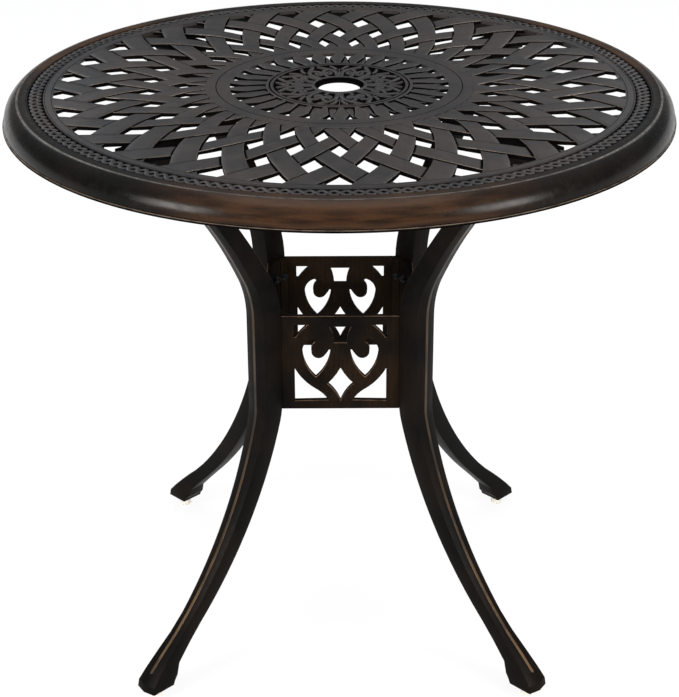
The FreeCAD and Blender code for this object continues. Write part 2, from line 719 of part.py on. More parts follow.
def drill_leg(body):
    """Holes for the top's bolts, the waist panels' screws and the glide's stud."""
    bolts = new_sketch(body, "bolt_circles", place=(0, 0, named("tab_top")))
    for side in (-1, 1):
        draw_circle(bolts, named("bolt_circle_radius"), named("bolt_half_spacing") * side,
                    named("bolt_radius") + named("bolt_hole_slack"))
    cut(body, "bolt_holes", bolts, named("tab_thickness") * 2)
    stud = new_sketch(body, "stud_circle", place=(0, 0, named("foot_clearance")))
    draw_circle(stud, named("glide_radius"), 0, named("stud_radius"))
    engaged = named("stud_floor") + named("stud_length") - named("foot_clearance")
    cut(body, "stud_hole", stud, engaged + named("stud_tip_room"), backwards=True)
    inner_face = named("leg_axis_radius") - named("leg_waist_width") / 2
    screws = new_sketch(body, "screw_circles", "YZ_Plane", place=(0, 0, inner_face))
    for side in (-1, 1):
        for height in screw_heights():
            draw_circle(screws, named("screw_half_offset") * side, height, named("screw_radius"))
    cut(body, "screw_holes", screws, named("screw_length"), backwards=True)


def screw_heights():
    """Heights of the two screws in each ear."""
    low = named("panel_bottom") + named("screw_end_distance")
    high = named("panel_bottom") + named("panel_height") - named("screw_end_distance")
    return low, high


# The scrolled waist panels. In a panel's own frame its face looks along -Y.
PANELS = {"panel_front": 0.0, "panel_right": 90.0, "panel_back": 180.0, "panel_left": -90.0}

# The openings of the scrollwork, drawn on the openwork field: x runs from -1 to 1 over its width,
# y from 0 to 1 over its height, and a third number is the bulge of the edge that follows.
STAR = [(0.0, 0.002, -0.13), (0.281, 0.228, -0.09), (0.0, 0.436, -0.09), (-0.281, 0.225, -0.13)]
CRESCENT = [(-0.60, 0.822, 0.34), (-0.812, 0.65, 0.18), (-0.531, 0.316, 0.195),
            (-0.214, 0.672, 0.7), (-0.250, 0.672, -0.06), (-0.36, 0.59, -0.71),
            (-0.62, 0.66, -0.28), (-0.545, 0.785, 0.45)]
LOWER_CORNER = [(-0.985, 0.0), (-0.267, 0.008, 0.12), (-0.50, 0.145, -0.14), (-0.985, 0.432)]
UPPER_CORNER = [(-1.0, 0.842), (-0.96, 0.842, -0.08), (-0.70, 1.0), (-1.0, 1.0)]
TRAPEZOID = [(-0.138, 0.771), (0.138, 0.771, -0.1), (0.225, 0.976), (-0.225, 0.976, -0.1)]


def ear_seat():
    """Distance from the table's axis to the outer face of the ears."""
    inner_face = named("leg_axis_radius") - named("leg_waist_width") / 2
    return inner_face - named("panel_seat_gap")


def make_panel(label, turn):
    body = new_body(label, turn)
    slant = size_of(math.sqrt(0.5))
    seat = ear_seat()
    ear_back = seat - named("ear_thickness")
    half_leg = named("leg_waist_width") / 2
    split = named("ear_split")
    face = slant * (seat + half_leg)
    back = face - named("panel_thickness")
    corner = slant * (seat - half_leg)
    inner_corner = ear_back * math.sqrt(2.0) - back
    right = [(corner, -face), (slant * (seat - split), -(slant * (seat + split))),
             (slant * (ear_back - split), -(slant * (ear_back + split))), (inner_corner, -back)]
    left = [(-x, y) for x, y in reversed(right)]
    plan = new_sketch(body, "plan", place=(0, 0, named("panel_bottom")))
    draw_outline(plan, right + left)
    pad(body, "wall", plan, named("panel_height"))
    cut_scrollwork(body)
    drill_ears(body)
    return body


def cut_scrollwork(body):
    """The openings between the scrolls."""
    sketch = new_sketch(body, "scrollwork", "XZ_Plane")
    half_width = named("window_half_width")
    bottom = named("panel_bottom") + named("window_bottom")

    def placed(points, side):
        ordered = points if side > 0 else list(reversed(points))
        placed_points = []
        for index, point in enumerate(ordered):
            spot = (half_width * (point[0] * side), bottom + named("window_height") * point[1])
            edge = point if side > 0 else ordered[(index + 1) % len(ordered)]
            if len(edge) == 3:
                spot = (*spot, edge[2])
            placed_points.append(spot)
        return placed_points

    draw_outline(sketch, placed(STAR, 1))
    draw_outline(sketch, placed(TRAPEZOID, 1))
    for points in (CRESCENT, LOWER_CORNER, UPPER_CORNER):
        for side in (1, -1):
            draw_outline(sketch, placed(points, side))
    cut(body, "scroll_openings", sketch)


def drill_ears(body):
    """Two screw holes in each ear, square to the ear."""
    for side in (-1, 1):
        sketch = new_sketch(body, f"ear_circles_{side + 1}", "XZ_Plane",
                            axis=(0, 1, 0), turn=45.0 * side)
        for height in screw_heights():
            draw_circle(sketch, named("screw_half_offset") * -side, height,
                        named("screw_radius") + named("bolt_hole_slack"))
        cut(body, f"ear_holes_{side + 1}", sketch)


# The adjustable glides, one under each foot
def make_glide(corner, turn):
    """A nylon pad on a steel stud."""
    along = math.radians(turn)
    place = Vector(math.cos(along), math.sin(along), 0) * named("glide_radius").value
    bottom, neck = named("glide_bottom_radius"), named("glide_neck_radius")
    edge, band = named("glide_edge"), named("glide_band")
    top = named("foot_clearance") - named("glide_foot_gap")
    pad_outline = [(0, 0), (bottom - edge, 0, 0.4), (bottom, edge), (bottom, band),
                   (neck, named("glide_neck_height")), (neck, top),
                   (named("stud_radius"), top), (named("stud_radius"), named("stud_floor")),
                   (0, named("stud_floor"))]
    stud_side = named("stud_radius") - named("thread_clearance")
    chamfer = named("stud_chamfer")
    stud_top = named("stud_floor") + named("stud_length")
    stud_outline = [(0, named("stud_floor")), (stud_side, named("stud_floor")),
                    (stud_side, stud_top - chamfer), (stud_side - chamfer, stud_top),
                    (0, stud_top)]
    pieces = []
    for label, outline in ((f"glide_pad_{corner}", pad_outline),
                           (f"glide_stem_{corner}", stud_outline)):
        body = new_body(label)
        body.Placement = Placement(place, Rotation())
        for letter, share in (("x", math.cos(along)), ("y", math.sin(along))):
            body.setExpression(f"Placement.Base.{letter}", (named("glide_radius") * share).text)
        sketch = new_sketch(body, "profile", "XZ_Plane")
        draw_outline(sketch, outline)
        turned = new_feature(body, "Revolution", "turned", sketch)
        turned.ReferenceAxis = (sketch, ["V_Axis"])
        turned.Angle = 360.0
        pieces.append(body)
    return pieces


# The fasteners. Each kind is one sub-part, made of loose pieces in their places.
def primitive(kind, name, turn, along, across, height, axis_turn=None, **sizes):
    """A Part primitive beside a leg: along its middle plane, across it, at a height."""
    piece = doc.addObject(f"Part::{kind}", name)
    for prop, value in sizes.items():
        piece.setExpression(prop, size_of(value).text)
    outward = Rotation(Vector(0, 0, 1), turn)
    spin = outward if axis_turn is None else outward.multiply(axis_turn)
    along, across, height = size_of(along), size_of(across), size_of(height)
    place = outward.multVec(Vector(along.value, across.value, height.value))
    piece.Placement = Placement(place, spin)
    cos_turn, sin_turn = math.cos(math.radians(turn)), math.sin(math.radians(turn))
    piece.setExpression("Placement.Base.x", (along * cos_turn - across * sin_turn).text)
    piece.setExpression("Placement.Base.y", (along * sin_turn + across * cos_turn).text)
    piece.setExpression("Placement.Base.z", height.text)
    return piece


def joined(kind, name, base, tool):
    """A Part::Fuse or Part::Cut of two pieces."""
    result = doc.addObject(f"Part::{kind}", name)
    result.Base = base
    result.Tool = tool
    return result


def group(label, pieces):
    """One sub-part out of loose pieces."""
    result = doc.addObject("Part::Compound", label)
    result.Label = label
    result.Links = pieces
    return result


def hexagon_side(width):
    """Side of a hexagon with this width across flats."""
    return width / math.sqrt(3.0)


def make_top_bolts():
    """Two hexagon bolts with washers in the tab of each leg, from below."""
    bolts, washers = [], []
    seat = named("tab_top") - named("tab_thickness")
    washer_bottom = seat - named("bolt_washer_thickness")
    for leg, turn in LEGS.items():
        for side in (-1, 1):
            tag = f"{leg}_{side + 1}"
            spot = (turn, named("bolt_circle_radius"), named("bolt_half_spacing") * side)
            head = primitive("Prism", f"bolt_head_{tag}", *spot,
                             washer_bottom - named("bolt_head_height"),
                             Circumradius=hexagon_side(named("bolt_head_width")),
                             Height=named("bolt_head_height"))
            shank = primitive("Cylinder", f"bolt_shank_{tag}", *spot, washer_bottom,
                              Radius=named("bolt_radius") - named("thread_clearance"),
                              Height=named("bolt_length"))
            bolts.append(joined("Fuse", f"bolt_{tag}", head, shank))
            disc = primitive("Cylinder", f"bolt_disc_{tag}", *spot, washer_bottom,
                             Radius=named("bolt_washer_radius"),
                             Height=named("bolt_washer_thickness"))
            hole = primitive("Cylinder", f"bolt_disc_hole_{tag}", *spot, washer_bottom,
                             Radius=named("bolt_radius") + named("bolt_hole_slack"),
                             Height=named("bolt_washer_thickness"))
            washers.append(joined("Cut", f"bolt_washer_{tag}", disc, hole))
    return [group("leg_top_bolts", bolts), group("leg_top_washers", washers)]


def make_panel_screws():
    """Two button head screws with washers in each ear, from inside."""
    screws, washers = [], []
    outward = Rotation(Vector(0, 1, 0), 90)
    washer_seat = ear_seat() - named("ear_thickness")
    head_seat = washer_seat - named("screw_washer_thickness")
    head_top = head_seat - named("screw_head_height")
    for leg, turn in LEGS.items():
        for side in (-1, 1):
            across = named("screw_half_offset") * side
            for level, height in enumerate(screw_heights()):
                tag = f"{leg}_{side + 1}_{level}"
                head = primitive("Cone", f"screw_head_{tag}", turn, head_top, across, height,
                                 outward, Radius1=named("screw_crown_radius"),
                                 Radius2=named("screw_head_radius"),
                                 Height=named("screw_head_height"))
                shank = primitive("Cylinder", f"screw_shank_{tag}", turn, head_seat, across,
                                  height, outward,
                                  Radius=named("screw_radius") - named("thread_clearance"),
                                  Height=named("screw_length"))
                whole = joined("Fuse", f"screw_blank_{tag}", head, shank)
                socket = primitive("Prism", f"screw_socket_{tag}", turn, head_top, across,
                                   height, outward,
                                   Circumradius=hexagon_side(named("screw_socket_width")),
                                   Height=named("screw_socket_depth"))
                screws.append(joined("Cut", f"screw_{tag}", whole, socket))
                disc = primitive("Cylinder", f"screw_disc_{tag}", turn, head_seat, across,
                                 height, outward, Radius=named("screw_washer_radius"),
                                 Height=named("screw_washer_thickness"))
                hole = primitive("Cylinder", f"screw_disc_hole_{tag}", turn, head_seat, across,
                                 height, outward,
                                 Radius=named("screw_radius") + named("bolt_hole_slack"),
                                 Height=named("screw_washer_thickness"))
                washers.append(joined("Cut", f"screw_washer_{tag}", disc, hole))
    return [group("panel_screws", screws), group("panel_washers", washers)]


parts = [make_table_top()]
parts.extend(make_ring(make_leg, LEGS))
parts.extend(make_ring(make_panel, PANELS))
for leg_label, leg_turn in LEGS.items():
    parts.extend(make_glide(leg_label.removeprefix("leg_"), leg_turn))
parts.extend(make_top_bolts())
parts.extend(make_panel_screws())
doc.recompute()

for item in doc.Objects:
    if "Invalid" in item.State or "Error" in item.State:
        raise RuntimeError(f"{item.Name} failed: {item.State}")
for part in parts:
    if part.Shape.isNull() or not part.Shape.isValid():
        raise RuntimeError(f"{part.Label} has no valid shape")

os.makedirs("parts", exist_ok=True)
for part in parts:
    part.Shape.exportStep(f"parts/{part.Label}.step")
    box = part.Shape.BoundBox
    print(f"{part.Label}: {len(part.Shape.Solids)} solids, {part.Shape.Volume / 1000:.1f} cm3, "
          f"z {box.ZMin:.1f} to {box.ZMax:.1f}")
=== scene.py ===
# %% [markdown]
# # A cast aluminium umbrella table
# This is a round patio table. Its top is one openwork casting: a basket weave between plain
# rings, a chain border near the rim, and a ring of leaves round a scrolled medallion with the
# hole for the umbrella's pole. Four bowed legs carry it, and four scrolled panels make its
# waist. Every casting is aluminium with an antique bronze powder coat, rubbed on its edges.
#
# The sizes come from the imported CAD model, which is loaded first as a fixed frame. The castings
# are then built again with the soft edges and the relief that the CAD leaves out, and the small
# turned and bought parts keep their CAD shape and get their real finish.

# %% Load the frame
import math

import bmesh
import bpy
from mathutils import Matrix, Vector


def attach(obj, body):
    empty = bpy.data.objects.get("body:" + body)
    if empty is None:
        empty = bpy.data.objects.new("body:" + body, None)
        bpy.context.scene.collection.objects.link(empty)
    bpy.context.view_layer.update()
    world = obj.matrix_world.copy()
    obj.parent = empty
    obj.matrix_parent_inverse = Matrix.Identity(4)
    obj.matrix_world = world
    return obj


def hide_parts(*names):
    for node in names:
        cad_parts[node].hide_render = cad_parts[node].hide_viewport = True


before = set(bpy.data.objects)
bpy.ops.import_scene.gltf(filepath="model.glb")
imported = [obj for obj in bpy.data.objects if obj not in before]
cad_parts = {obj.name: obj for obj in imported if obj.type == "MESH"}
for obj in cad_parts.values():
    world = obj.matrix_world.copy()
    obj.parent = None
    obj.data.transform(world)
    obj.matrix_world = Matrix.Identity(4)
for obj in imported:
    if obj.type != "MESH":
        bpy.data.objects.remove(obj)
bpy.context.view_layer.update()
MM = 0.001


def new_object(name, data):
    """An object with this data, in the scene."""
    thing = bpy.data.objects.new(name, data)
    bpy.context.scene.collection.objects.link(thing)
    return thing


print("CAD nodes:", len(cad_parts))


# %% [markdown]
# ## Helpers for materials
# A paint chart gives colours as sRGB hex values, but a shader works with linear light, so one
# function turns the first into the second. The others start an empty material, add a node, or
# add what nearly every material needs: a sum, a blend, a soft step, noise and the shader.

# %% Colour and node helpers
def linear(hex_value):
    """A linear RGBA colour from an sRGB hex value such as #7d6c5c."""
    channels = [int(hex_value[place:place + 2], 16) / 255 for place in (1, 3, 5)]
    curved = [c / 12.92 if c <= 0.04045 else ((c + 0.055) / 1.055) ** 2.4 for c in channels]
    return (*curved, 1.0)


def blank_material(name):
    """A new material and its empty node tree."""
    material = bpy.data.materials.new(name)
    material.use_nodes = True
    material.node_tree.nodes.clear()
    return material, material.node_tree


def add(tree, kind, inputs=None, **settings):
    """Add a node. Inputs go by socket name or number, and are values or other nodes' outputs."""
    node = tree.nodes.new("ShaderNode" + kind)
    for name, value in settings.items():
        setattr(node, name, value)
    for socket, value in (inputs or {}).items():
        if isinstance(value, bpy.types.NodeSocket):
            tree.links.new(value, node.inputs[socket])
        else:
            node.inputs[socket].default_value = value
    return node


def computed(tree, operation, *values):
    """The result of a Math node on one or two values."""
    return add(tree, "Math", dict(enumerate(values)), operation=operation).outputs[0]


def mixed(tree, share, first, second):
    """The colour between two colours."""
    return add(tree, "Mix", {0: share, 6: first, 7: second}, data_type="RGBA").outputs[2]


def remapped(tree, value, low, high, new_low=0.0, new_high=1.0):
    """A value moved from one range to another with soft ends."""
    return add(tree, "MapRange", {"Value": value, "From Min": low, "From Max": high,
                                  "To Min": new_low, "To Max": new_high},
               interpolation_type="SMOOTHSTEP").outputs[0]


def noise(tree, place, size, detail, roughness=0.5):
    """Soft random patches of about this size in metres."""
    return add(tree, "TexNoise", {"Vector": place, "Scale": 1 / size, "Detail": detail,
                                  "Roughness": roughness}).outputs[0]


def principled(tree, inputs):
    """The shader of nearly every material, joined to the output."""
    shader = add(tree, "BsdfPrincipled", inputs)
    add(tree, "OutputMaterial", {"Surface": shader.outputs[0]})


print("bronze on the rim's bead:", [round(value, 3) for value in linear("#7d6c5c")])


# %% [markdown]
# ## Antique bronze powder coat on cast aluminium
# The castings are sprayed with a near-black bronze powder and baked, which gives an even satin
# skin with a slight orange peel. A warm glaze is then brushed on by hand, so some places turn
# brown and the eye sees streaks and patches. A picture could carry that, but noise in the
# object's own millimetres fits every piece and needs no unwrapping. One function makes the
# coat, and the pieces differ in how much glaze they caught and in how dark the coat is made.
# All castings wear one coat, so a darker body on some of them is painted shade.

# %% The coat
PATCH_SIZE = 0.11
MOTTLE_SIZE = 0.009
STREAK_WIDTH = 0.003
PEEL_SIZE, PEEL_HEIGHT = 0.0012, 0.0002
DEEP_SHADE = 0.7
SMOOTHER, ROUGHER = 0.04, 0.07


def bronze_coat(name, body, glaze, glaze_share, roughness, shine, along=(1, 1, 1), glaze_and_shade=None):
    """Powder coat with a hand-brushed glaze. along stretches the brush streaks, and
    glaze_and_shade
    may change the colour and shine again: more glaze on the rim, painted shade lines on the
    bands."""
    material, tree = blank_material(name)
    place = add(tree, "TexCoord").outputs["Object"]
    patches = noise(tree, place, PATCH_SIZE, 2.0)
    mottle = noise(tree, place, MOTTLE_SIZE, 4.0, 0.6)
    stretched = add(tree, "Mapping", {"Vector": place, "Scale": along}).outputs[0]
    streaks = noise(tree, stretched, STREAK_WIDTH, 2.0)
    brushed = computed(tree, "MULTIPLY", remapped(tree, patches, 0.40, 0.62),
                       remapped(tree, streaks, 0.35, 0.7, 0.55, 1.0))
    share = computed(tree, "MULTIPLY", brushed, glaze_share)
    deep = [channel * DEEP_SHADE for channel in linear(body)[:3]] + [1.0]
    ground = mixed(tree, remapped(tree, mottle, 0.3, 0.7), deep, linear(body))
    colour = mixed(tree, share, ground, linear(glaze))
    level = shine
    if glaze_and_shade is not None:
        colour, level = glaze_and_shade(tree, colour, shine)
    gloss = remapped(tree, mottle, 0.3, 0.75, roughness - SMOOTHER, roughness + ROUGHER)
    peel = noise(tree, place, PEEL_SIZE, 2.0)
    bump = add(tree, "Bump", {"Height": peel, "Strength": 0.22, "Distance": PEEL_HEIGHT})
    principled(tree, {"Base Color": colour, "Roughness": gloss, "Normal": bump.outputs[0],
                      "Metallic": 0.0, "IOR": 1.5, "Specular IOR Level": level})
    return material


# %% [markdown]
# The rim is brushed along its length. Its angle times a small radius unrolls it into a strip,
# and noise on that strip makes strokes that are long along the rim. The cosine of three times
# the angle lets three smudges of warm brown come and go.

# %% The glaze on the rim
SMUDGES = 3.0
STROKE_SIZE = 0.006
STRIP_RADIUS = 0.04
RIM_BROWN = "#3a2618"


def rim_glaze(tree, colour, shine):
    """Brown glaze in three long smudges round the rim, brushed along it, one at the front."""
    place = add(tree, "TexCoord").outputs["Object"]
    parts = add(tree, "SeparateXYZ", {0: place}).outputs
    forwards = computed(tree, "MULTIPLY", parts["Y"], -1.0)
    angle = computed(tree, "ARCTAN2", parts["X"], forwards)
    wave = computed(tree, "COSINE", computed(tree, "MULTIPLY", angle, SMUDGES))
    either_way = computed(tree, "ABSOLUTE", angle)
    round_rim = computed(tree, "MULTIPLY", either_way, STRIP_RADIUS)
    unrolled = add(tree, "CombineXYZ", {0: round_rim, 1: parts["Z"]}).outputs[0]
    strokes = noise(tree, unrolled, STROKE_SIZE, 4.0)
    share = computed(tree, "MULTIPLY", remapped(tree, wave, -0.3, 0.9),
                     remapped(tree, strokes, 0.35, 0.65, 0.3, 0.9))
    return mixed(tree, share, colour, linear(RIM_BROWN)), shine


# %% The coats
# Body colour, glaze, share of the glaze, roughness and shine
TOP_COAT = ("#1f1d1e", "#332a26", 0.6, 0.42, 0.25)
coat_top = bronze_coat("bronze_powder_coat_top", *TOP_COAT)
# The rim, legs and panels wear the same coat as the top: their darker bodies and weaker shine are
# painted shade
coat_rim = bronze_coat("bronze_powder_coat_rim", "#0b0a09", "#1a1410", 0.6, 0.24, 0.10,
                       along=(1, 1, 0.15), glaze_and_shade=rim_glaze)
coat_leg = bronze_coat("bronze_powder_coat_legs", "#0e0d0c", "#1a130e", 0.8, 0.40, 0.03,
                       along=(1, 1, 0.05))
coat_panel = bronze_coat("bronze_powder_coat_panels", "#0e0c0b", "#22180f", 0.9, 0.42, 0.02,
                         along=(1, 1, 0.1))
# A near-black coat for grooves, recesses, walls and parts under the top: painted shade
coat_painted_shade = bronze_coat("near_black_painted_shade_in_recesses", "#080707", "#0d0b0a", 0.5, 0.6, 0.0)
print("coats:", [material.name for material in bpy.data.materials if "coat" in material.name])


# %% [markdown]
# ## The rubbed edges
# When the glaze has dried, a rag takes it off the raised edges and leaves a thin bronze shine
# there. Here that bronze is also made bright enough to stand in for the highlights along those
# edges, so it is partly painted highlight. Ambient tricks such as pointiness depend on the mesh
# and can be lost on export. Here the bevel that softens an edge gets a second material, so the
# bronze sits exactly where the rag would touch, and noise makes it come and go as a hand would.
# Walls and grooves get a near-black coat instead, which is painted shade.

# %% The rubbed edge
RUB_SIZE = 0.014
LEG_RUB_SIZE = 0.07
FADE_HEIGHT, FADED_SHARE = 0.25, 0.35


def rubbed_edge_and_highlight(name, bronze, under, amount, size, low=None):
    """Bronze pigment that the rag left on an edge, bright enough to be its painted highlight too.
    low gives a height below which it is full.
    """
    material, tree = blank_material(name)
    place = add(tree, "TexCoord").outputs["Object"]
    rub = noise(tree, place, size, 4.0, 0.6)
    share = remapped(tree, rub, 0.36, 0.62, 0.3 * amount, amount)
    # Above low the bronze fades, so the ridge is brighter towards the foot: painted highlight
    if low is not None:
        height = add(tree, "SeparateXYZ", {0: place}).outputs["Z"]
        full = remapped(tree, height, low, low + FADE_HEIGHT, 1.0, FADED_SHARE)
        share = computed(tree, "MULTIPLY", share, full)
    colour = mixed(tree, share, linear(under), linear(bronze))
    gloss = remapped(tree, rub, 0.3, 0.7, 0.48, 0.34)
    principled(tree, {"Base Color": colour, "Roughness": gloss, "Metallic": 0.4,
                      "Specular IOR Level": 0.25})
    return material


edge_top = rubbed_edge_and_highlight("rubbed_bronze_and_highlight_edge_top", "#6b6055", "#1f1d1e", 0.5, RUB_SIZE)
edge_rim = rubbed_edge_and_highlight("rubbed_bronze_and_highlight_edge_rim", "#7d6c5c", "#141211", 0.6, RUB_SIZE)
edge_leg = rubbed_edge_and_highlight("rubbed_bronze_and_highlight_ridge_legs", "#6f5840", "#100f0e", 0.9, LEG_RUB_SIZE,
                       low=0.05)
edge_panel = rubbed_edge_and_highlight("rubbed_bronze_and_highlight_edge_panels", "#7a5f4a", "#12100f", 0.8, RUB_SIZE)
print("a rubbed patch is about", RUB_SIZE / MM, "mm long, on a leg", LEG_RUB_SIZE / MM)


# %% [markdown]
# ## A room of plain light
# The photograph shows the table cut out on white. A wide white floor keeps a soft shadow. What
# the camera and the reflections see of it is nearly plain white, by the Light Path node, while
# the light that it throws on the table stays at an even level. The dome above is brightest
# overhead, like a studio ceiling. Near the horizon it is dimmer, because a flat table top seen
# from low down mirrors just that part, and the real one stays dark there.

# %% The white floor
FLOOR_HALF = 45.0
WHITE_SHARE = 0.88


def seen_directly(tree):
    """1 for rays from the camera, a reflection or a see-through surface, otherwise 0."""
    path = add(tree, "LightPath").outputs
    seen = computed(tree, "MAXIMUM", path["Is Camera Ray"], path["Is Glossy Ray"])
    return computed(tree, "MAXIMUM", seen, path["Is Transmission Ray"])


floor_paper, tree = blank_material("white_paper_floor")
paper = add(tree, "BsdfDiffuse", {"Color": linear("#fbfbfb")})
glow = add(tree, "Emission", {"Color": (1, 1, 1, 1), "Strength": 1.0})
share = computed(tree, "MULTIPLY", seen_directly(tree), WHITE_SHARE)
floor_mix = add(tree, "MixShader", {0: share, 1: paper.outputs[0], 2: glow.outputs[0]})
add(tree, "OutputMaterial", {"Surface": floor_mix.outputs[0]})

bm = bmesh.new()
bmesh.ops.create_grid(bm, x_segments=1, y_segments=1, size=FLOOR_HALF)
floor_mesh = bpy.data.meshes.new("studio_floor")
bm.to_mesh(floor_mesh)
bm.free()
floor_mesh.materials.append(floor_paper)
studio_floor = new_object("studio_floor", floor_mesh)

# %% The dome and the soft boxes
HORIZON, OVERHEAD = 0.19, 0.9
RISE_STARTS, RISE_ENDS = 0.25, 0.9
DOME_TINT = (0.97, 0.985, 1.0, 1)
LAMP_AIM = Vector((0, 0, 0.7))

world = bpy.data.worlds.new("pale_studio")
bpy.context.scene.world = world
world.use_nodes = True
tree = world.node_tree
tree.nodes.clear()
direction = add(tree, "TexCoord").outputs["Generated"]
upwards = add(tree, "SeparateXYZ", {0: direction}).outputs["Z"]
level = remapped(tree, upwards, RISE_STARTS, RISE_ENDS, HORIZON, OVERHEAD)
dome = add(tree, "Background", {"Color": DOME_TINT, "Strength": level})
add(tree, "OutputWorld", {"Surface": dome.outputs[0]})


def soft_box(name, place, size, power, colour):
    """A square area lamp that faces the table top."""
    lamp = bpy.data.lights.new(name, "AREA")
    lamp.shape = "SQUARE"
    lamp.size = size
    lamp.energy = power
    lamp.color = colour
    holder = new_object(name, lamp)
    holder.location = place
    holder.rotation_euler = (LAMP_AIM - Vector(place)).to_track_quat("-Z", "Y").to_euler()
    holder.visible_camera = False


COOL, PLAIN = (0.86, 0.94, 1.0), (1.0, 0.985, 0.96)
soft_box("soft_box_left", (-2.15, -1.75, 1.40), 0.9, 64, PLAIN)
soft_box("soft_box_right", (2.15, -1.75, 1.40), 0.9, 64, PLAIN)
soft_box("soft_box_back_left", (-1.5, 2.6, 2.7), 1.4, 16, COOL)
soft_box("soft_box_back_right", (1.5, 2.6, 2.7), 1.4, 16, COOL)
soft_box("soft_box_overhead", (0.0, -0.3, 3.4), 2.4, 46, PLAIN)
bpy.context.scene.view_settings.view_transform = "Standard"
print("lamps:", [lamp.name for lamp in bpy.data.lights])

# %% [markdown]
# ## The camera
# The photograph was taken from 2 m in front of the table's axis and 1.35 m above the floor,
# looking down at 26 degrees. The round top gives that away: its ellipse has a known true shape,
# and the feet fix the rest.

# %% Camera
CAMERA_PLACE = (0.0, -2.0094, 1.3502)
PITCH_DOWN = 26.0
ROLL = -0.25
FOCAL_PIXELS = 1738.7
LONG_SIDE = 697
SHIFT_PIXELS = (-0.9, -0.5)
SENSOR_WIDTH = 36.0

camera_data = bpy.data.cameras.new("photo_camera")
camera_data.sensor_width = SENSOR_WIDTH
camera_data.lens = FOCAL_PIXELS * SENSOR_WIDTH / LONG_SIDE
camera_data.shift_x, camera_data.shift_y = (shift / LONG_SIDE for shift in SHIFT_PIXELS)
camera = new_object("photo_camera", camera_data)
camera.location = CAMERA_PLACE
camera.rotation_euler = (Matrix.Rotation(math.radians(90 - PITCH_DOWN), 4, "X")
                         @ Matrix.Rotation(math.radians(ROLL), 4, "Z")).to_euler()
bpy.context.scene.camera = camera
print("lens in mm:", round(camera_data.lens, 2))


# %% [markdown]
# ## Helpers for castings
# Everything round the table's axis is easiest in polar terms, so one helper gives a point from
# its radius, its angle from the front and its height. Another closes each piece: it welds
# doubles, turns the faces outwards, shades it smooth with sharp corners kept, and tells the
# frame what it rides on and which CAD node it stands for. The rest are steps that several
# castings share.

# %% Polar points and finished pieces
def polar(radius, degrees, height):
    """A point in metres. Radius and height are in mm, and 0 degrees is the front, -Y."""
    angle = math.radians(degrees)
    return Vector((radius * math.sin(angle), -radius * math.cos(angle), height)) * MM


def make_piece(bm, name, materials, nodes=("table_top",), sharp=38.0):
    """Turn a bmesh into a finished casting that stands for some CAD nodes."""
    bmesh.ops.remove_doubles(bm, verts=bm.verts, dist=0.002 * MM)
    bmesh.ops.recalc_face_normals(bm, faces=bm.faces)
    for face in bm.faces:
        face.smooth = True
    for edge in bm.edges:
        edge.smooth = edge.is_manifold and edge.calc_face_angle() < math.radians(sharp)
    mesh = bpy.data.meshes.new(name)
    bm.to_mesh(mesh)
    bm.free()
    for material in materials:
        mesh.materials.append(material)
    piece = new_object(name, mesh)
    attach(piece, "frame")
    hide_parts(*nodes)
    print(name, "faces:", len(mesh.polygons))


def soften(bm, edges, width, material=-1, segments=2):
    """Bevel some edges, and give the bevel a material of its own where one is named."""
    made = bmesh.ops.bevel(bm, geom=edges, offset=width * MM, offset_type="OFFSET",
                           segments=segments, profile=0.5, affect="EDGES", material=-1,
                           clamp_overlap=True)
    if material >= 0:
        for face in made["faces"]:
            face.material_index = material


def verts_of(geometry):
    """The vertices in what a bmesh operator returns."""
    return [part for part in geometry if isinstance(part, bmesh.types.BMVert)]


def edges_of(geometry):
    """The edges in what a bmesh operator returns."""
    return [part for part in geometry if isinstance(part, bmesh.types.BMEdge)]


def edges_at(verts):
    """All edges that end at some of these vertices."""
    return list({edge for vert in verts for edge in vert.link_edges})


def closed_outline(bm, points):
    """Vertices at these points, and edges that join them into a loop."""
    verts = [bm.verts.new(point) for point in points]
    return verts, [bm.edges.new(pair) for pair in zip(verts, verts[1:] + verts[:1])]


def long_sides(bm):
    """The edges along both sides of a grid, which runs from -1 to 1 across."""
    return [edge for edge in bm.edges if all(abs(vert.co.x) > 0.999 for vert in edge.verts)]


def close_below(bm, bottom):
    """Give a sheet walls and a flat underside at a height in mm."""
    for vert in verts_of(bmesh.ops.extrude_face_region(bm, geom=bm.faces[:])["geom"]):
        vert.co.z = bottom * MM


def shade_walls(bm, material):
    """Give the steep faces another material, which here is always painted shade."""
    bm.normal_update()
    for face in bm.faces:
        if abs(face.normal.z) < 0.5:
            face.material_index = material


def copy_round(bm, count):
    """Copy what is there round the table's axis until there are count of it."""
    bmesh.ops.spin(bm, geom=bm.verts[:] + bm.edges[:] + bm.faces[:], cent=(0, 0, 0),
                   axis=(0, 0, 1), angle=math.tau * (count - 1) / count, steps=count - 1,
                   use_duplicate=True)


def turn_about_axis(bm, verts, degrees):
    """Turn some vertices about the table's axis."""
    bmesh.ops.rotate(bm, verts=verts, cent=(0, 0, 0),
                     matrix=Matrix.Rotation(math.radians(degrees), 3, "Z"))


def between(rows, value):
    """Straight-line lookup in rows of (value, result, ...), which may run up or down."""
    for low, high in zip(rows, rows[1:]):
        if (value - low[0]) * (value - high[0]) <= 0:
            share = (value - low[0]) / (high[0] - low[0])
            return [a + (b - a) * share for a, b in zip(low[1:], high[1:])]
    raise ValueError(f"{value} lies outside the rows")


# %% [markdown]
# ## Turned rings
# The rim, the plain rings and the hub are the same shape all the way round. Each is drawn as
# half a section, a closed outline of radius and height, and spun once round the axis. Their
# grooves get painted shade, a near-black coat.

# %% Spin a section
RING_STEPS = 240


def arc(centre, radius, first, last, count):
    """Points of an arc in the section, angles in degrees from straight outwards."""
    angles = [math.radians(first + (last - first) * step / count) for step in range(count + 1)]
    return [(centre[0] + radius * math.cos(a), centre[1] + radius * math.sin(a)) for a in angles]


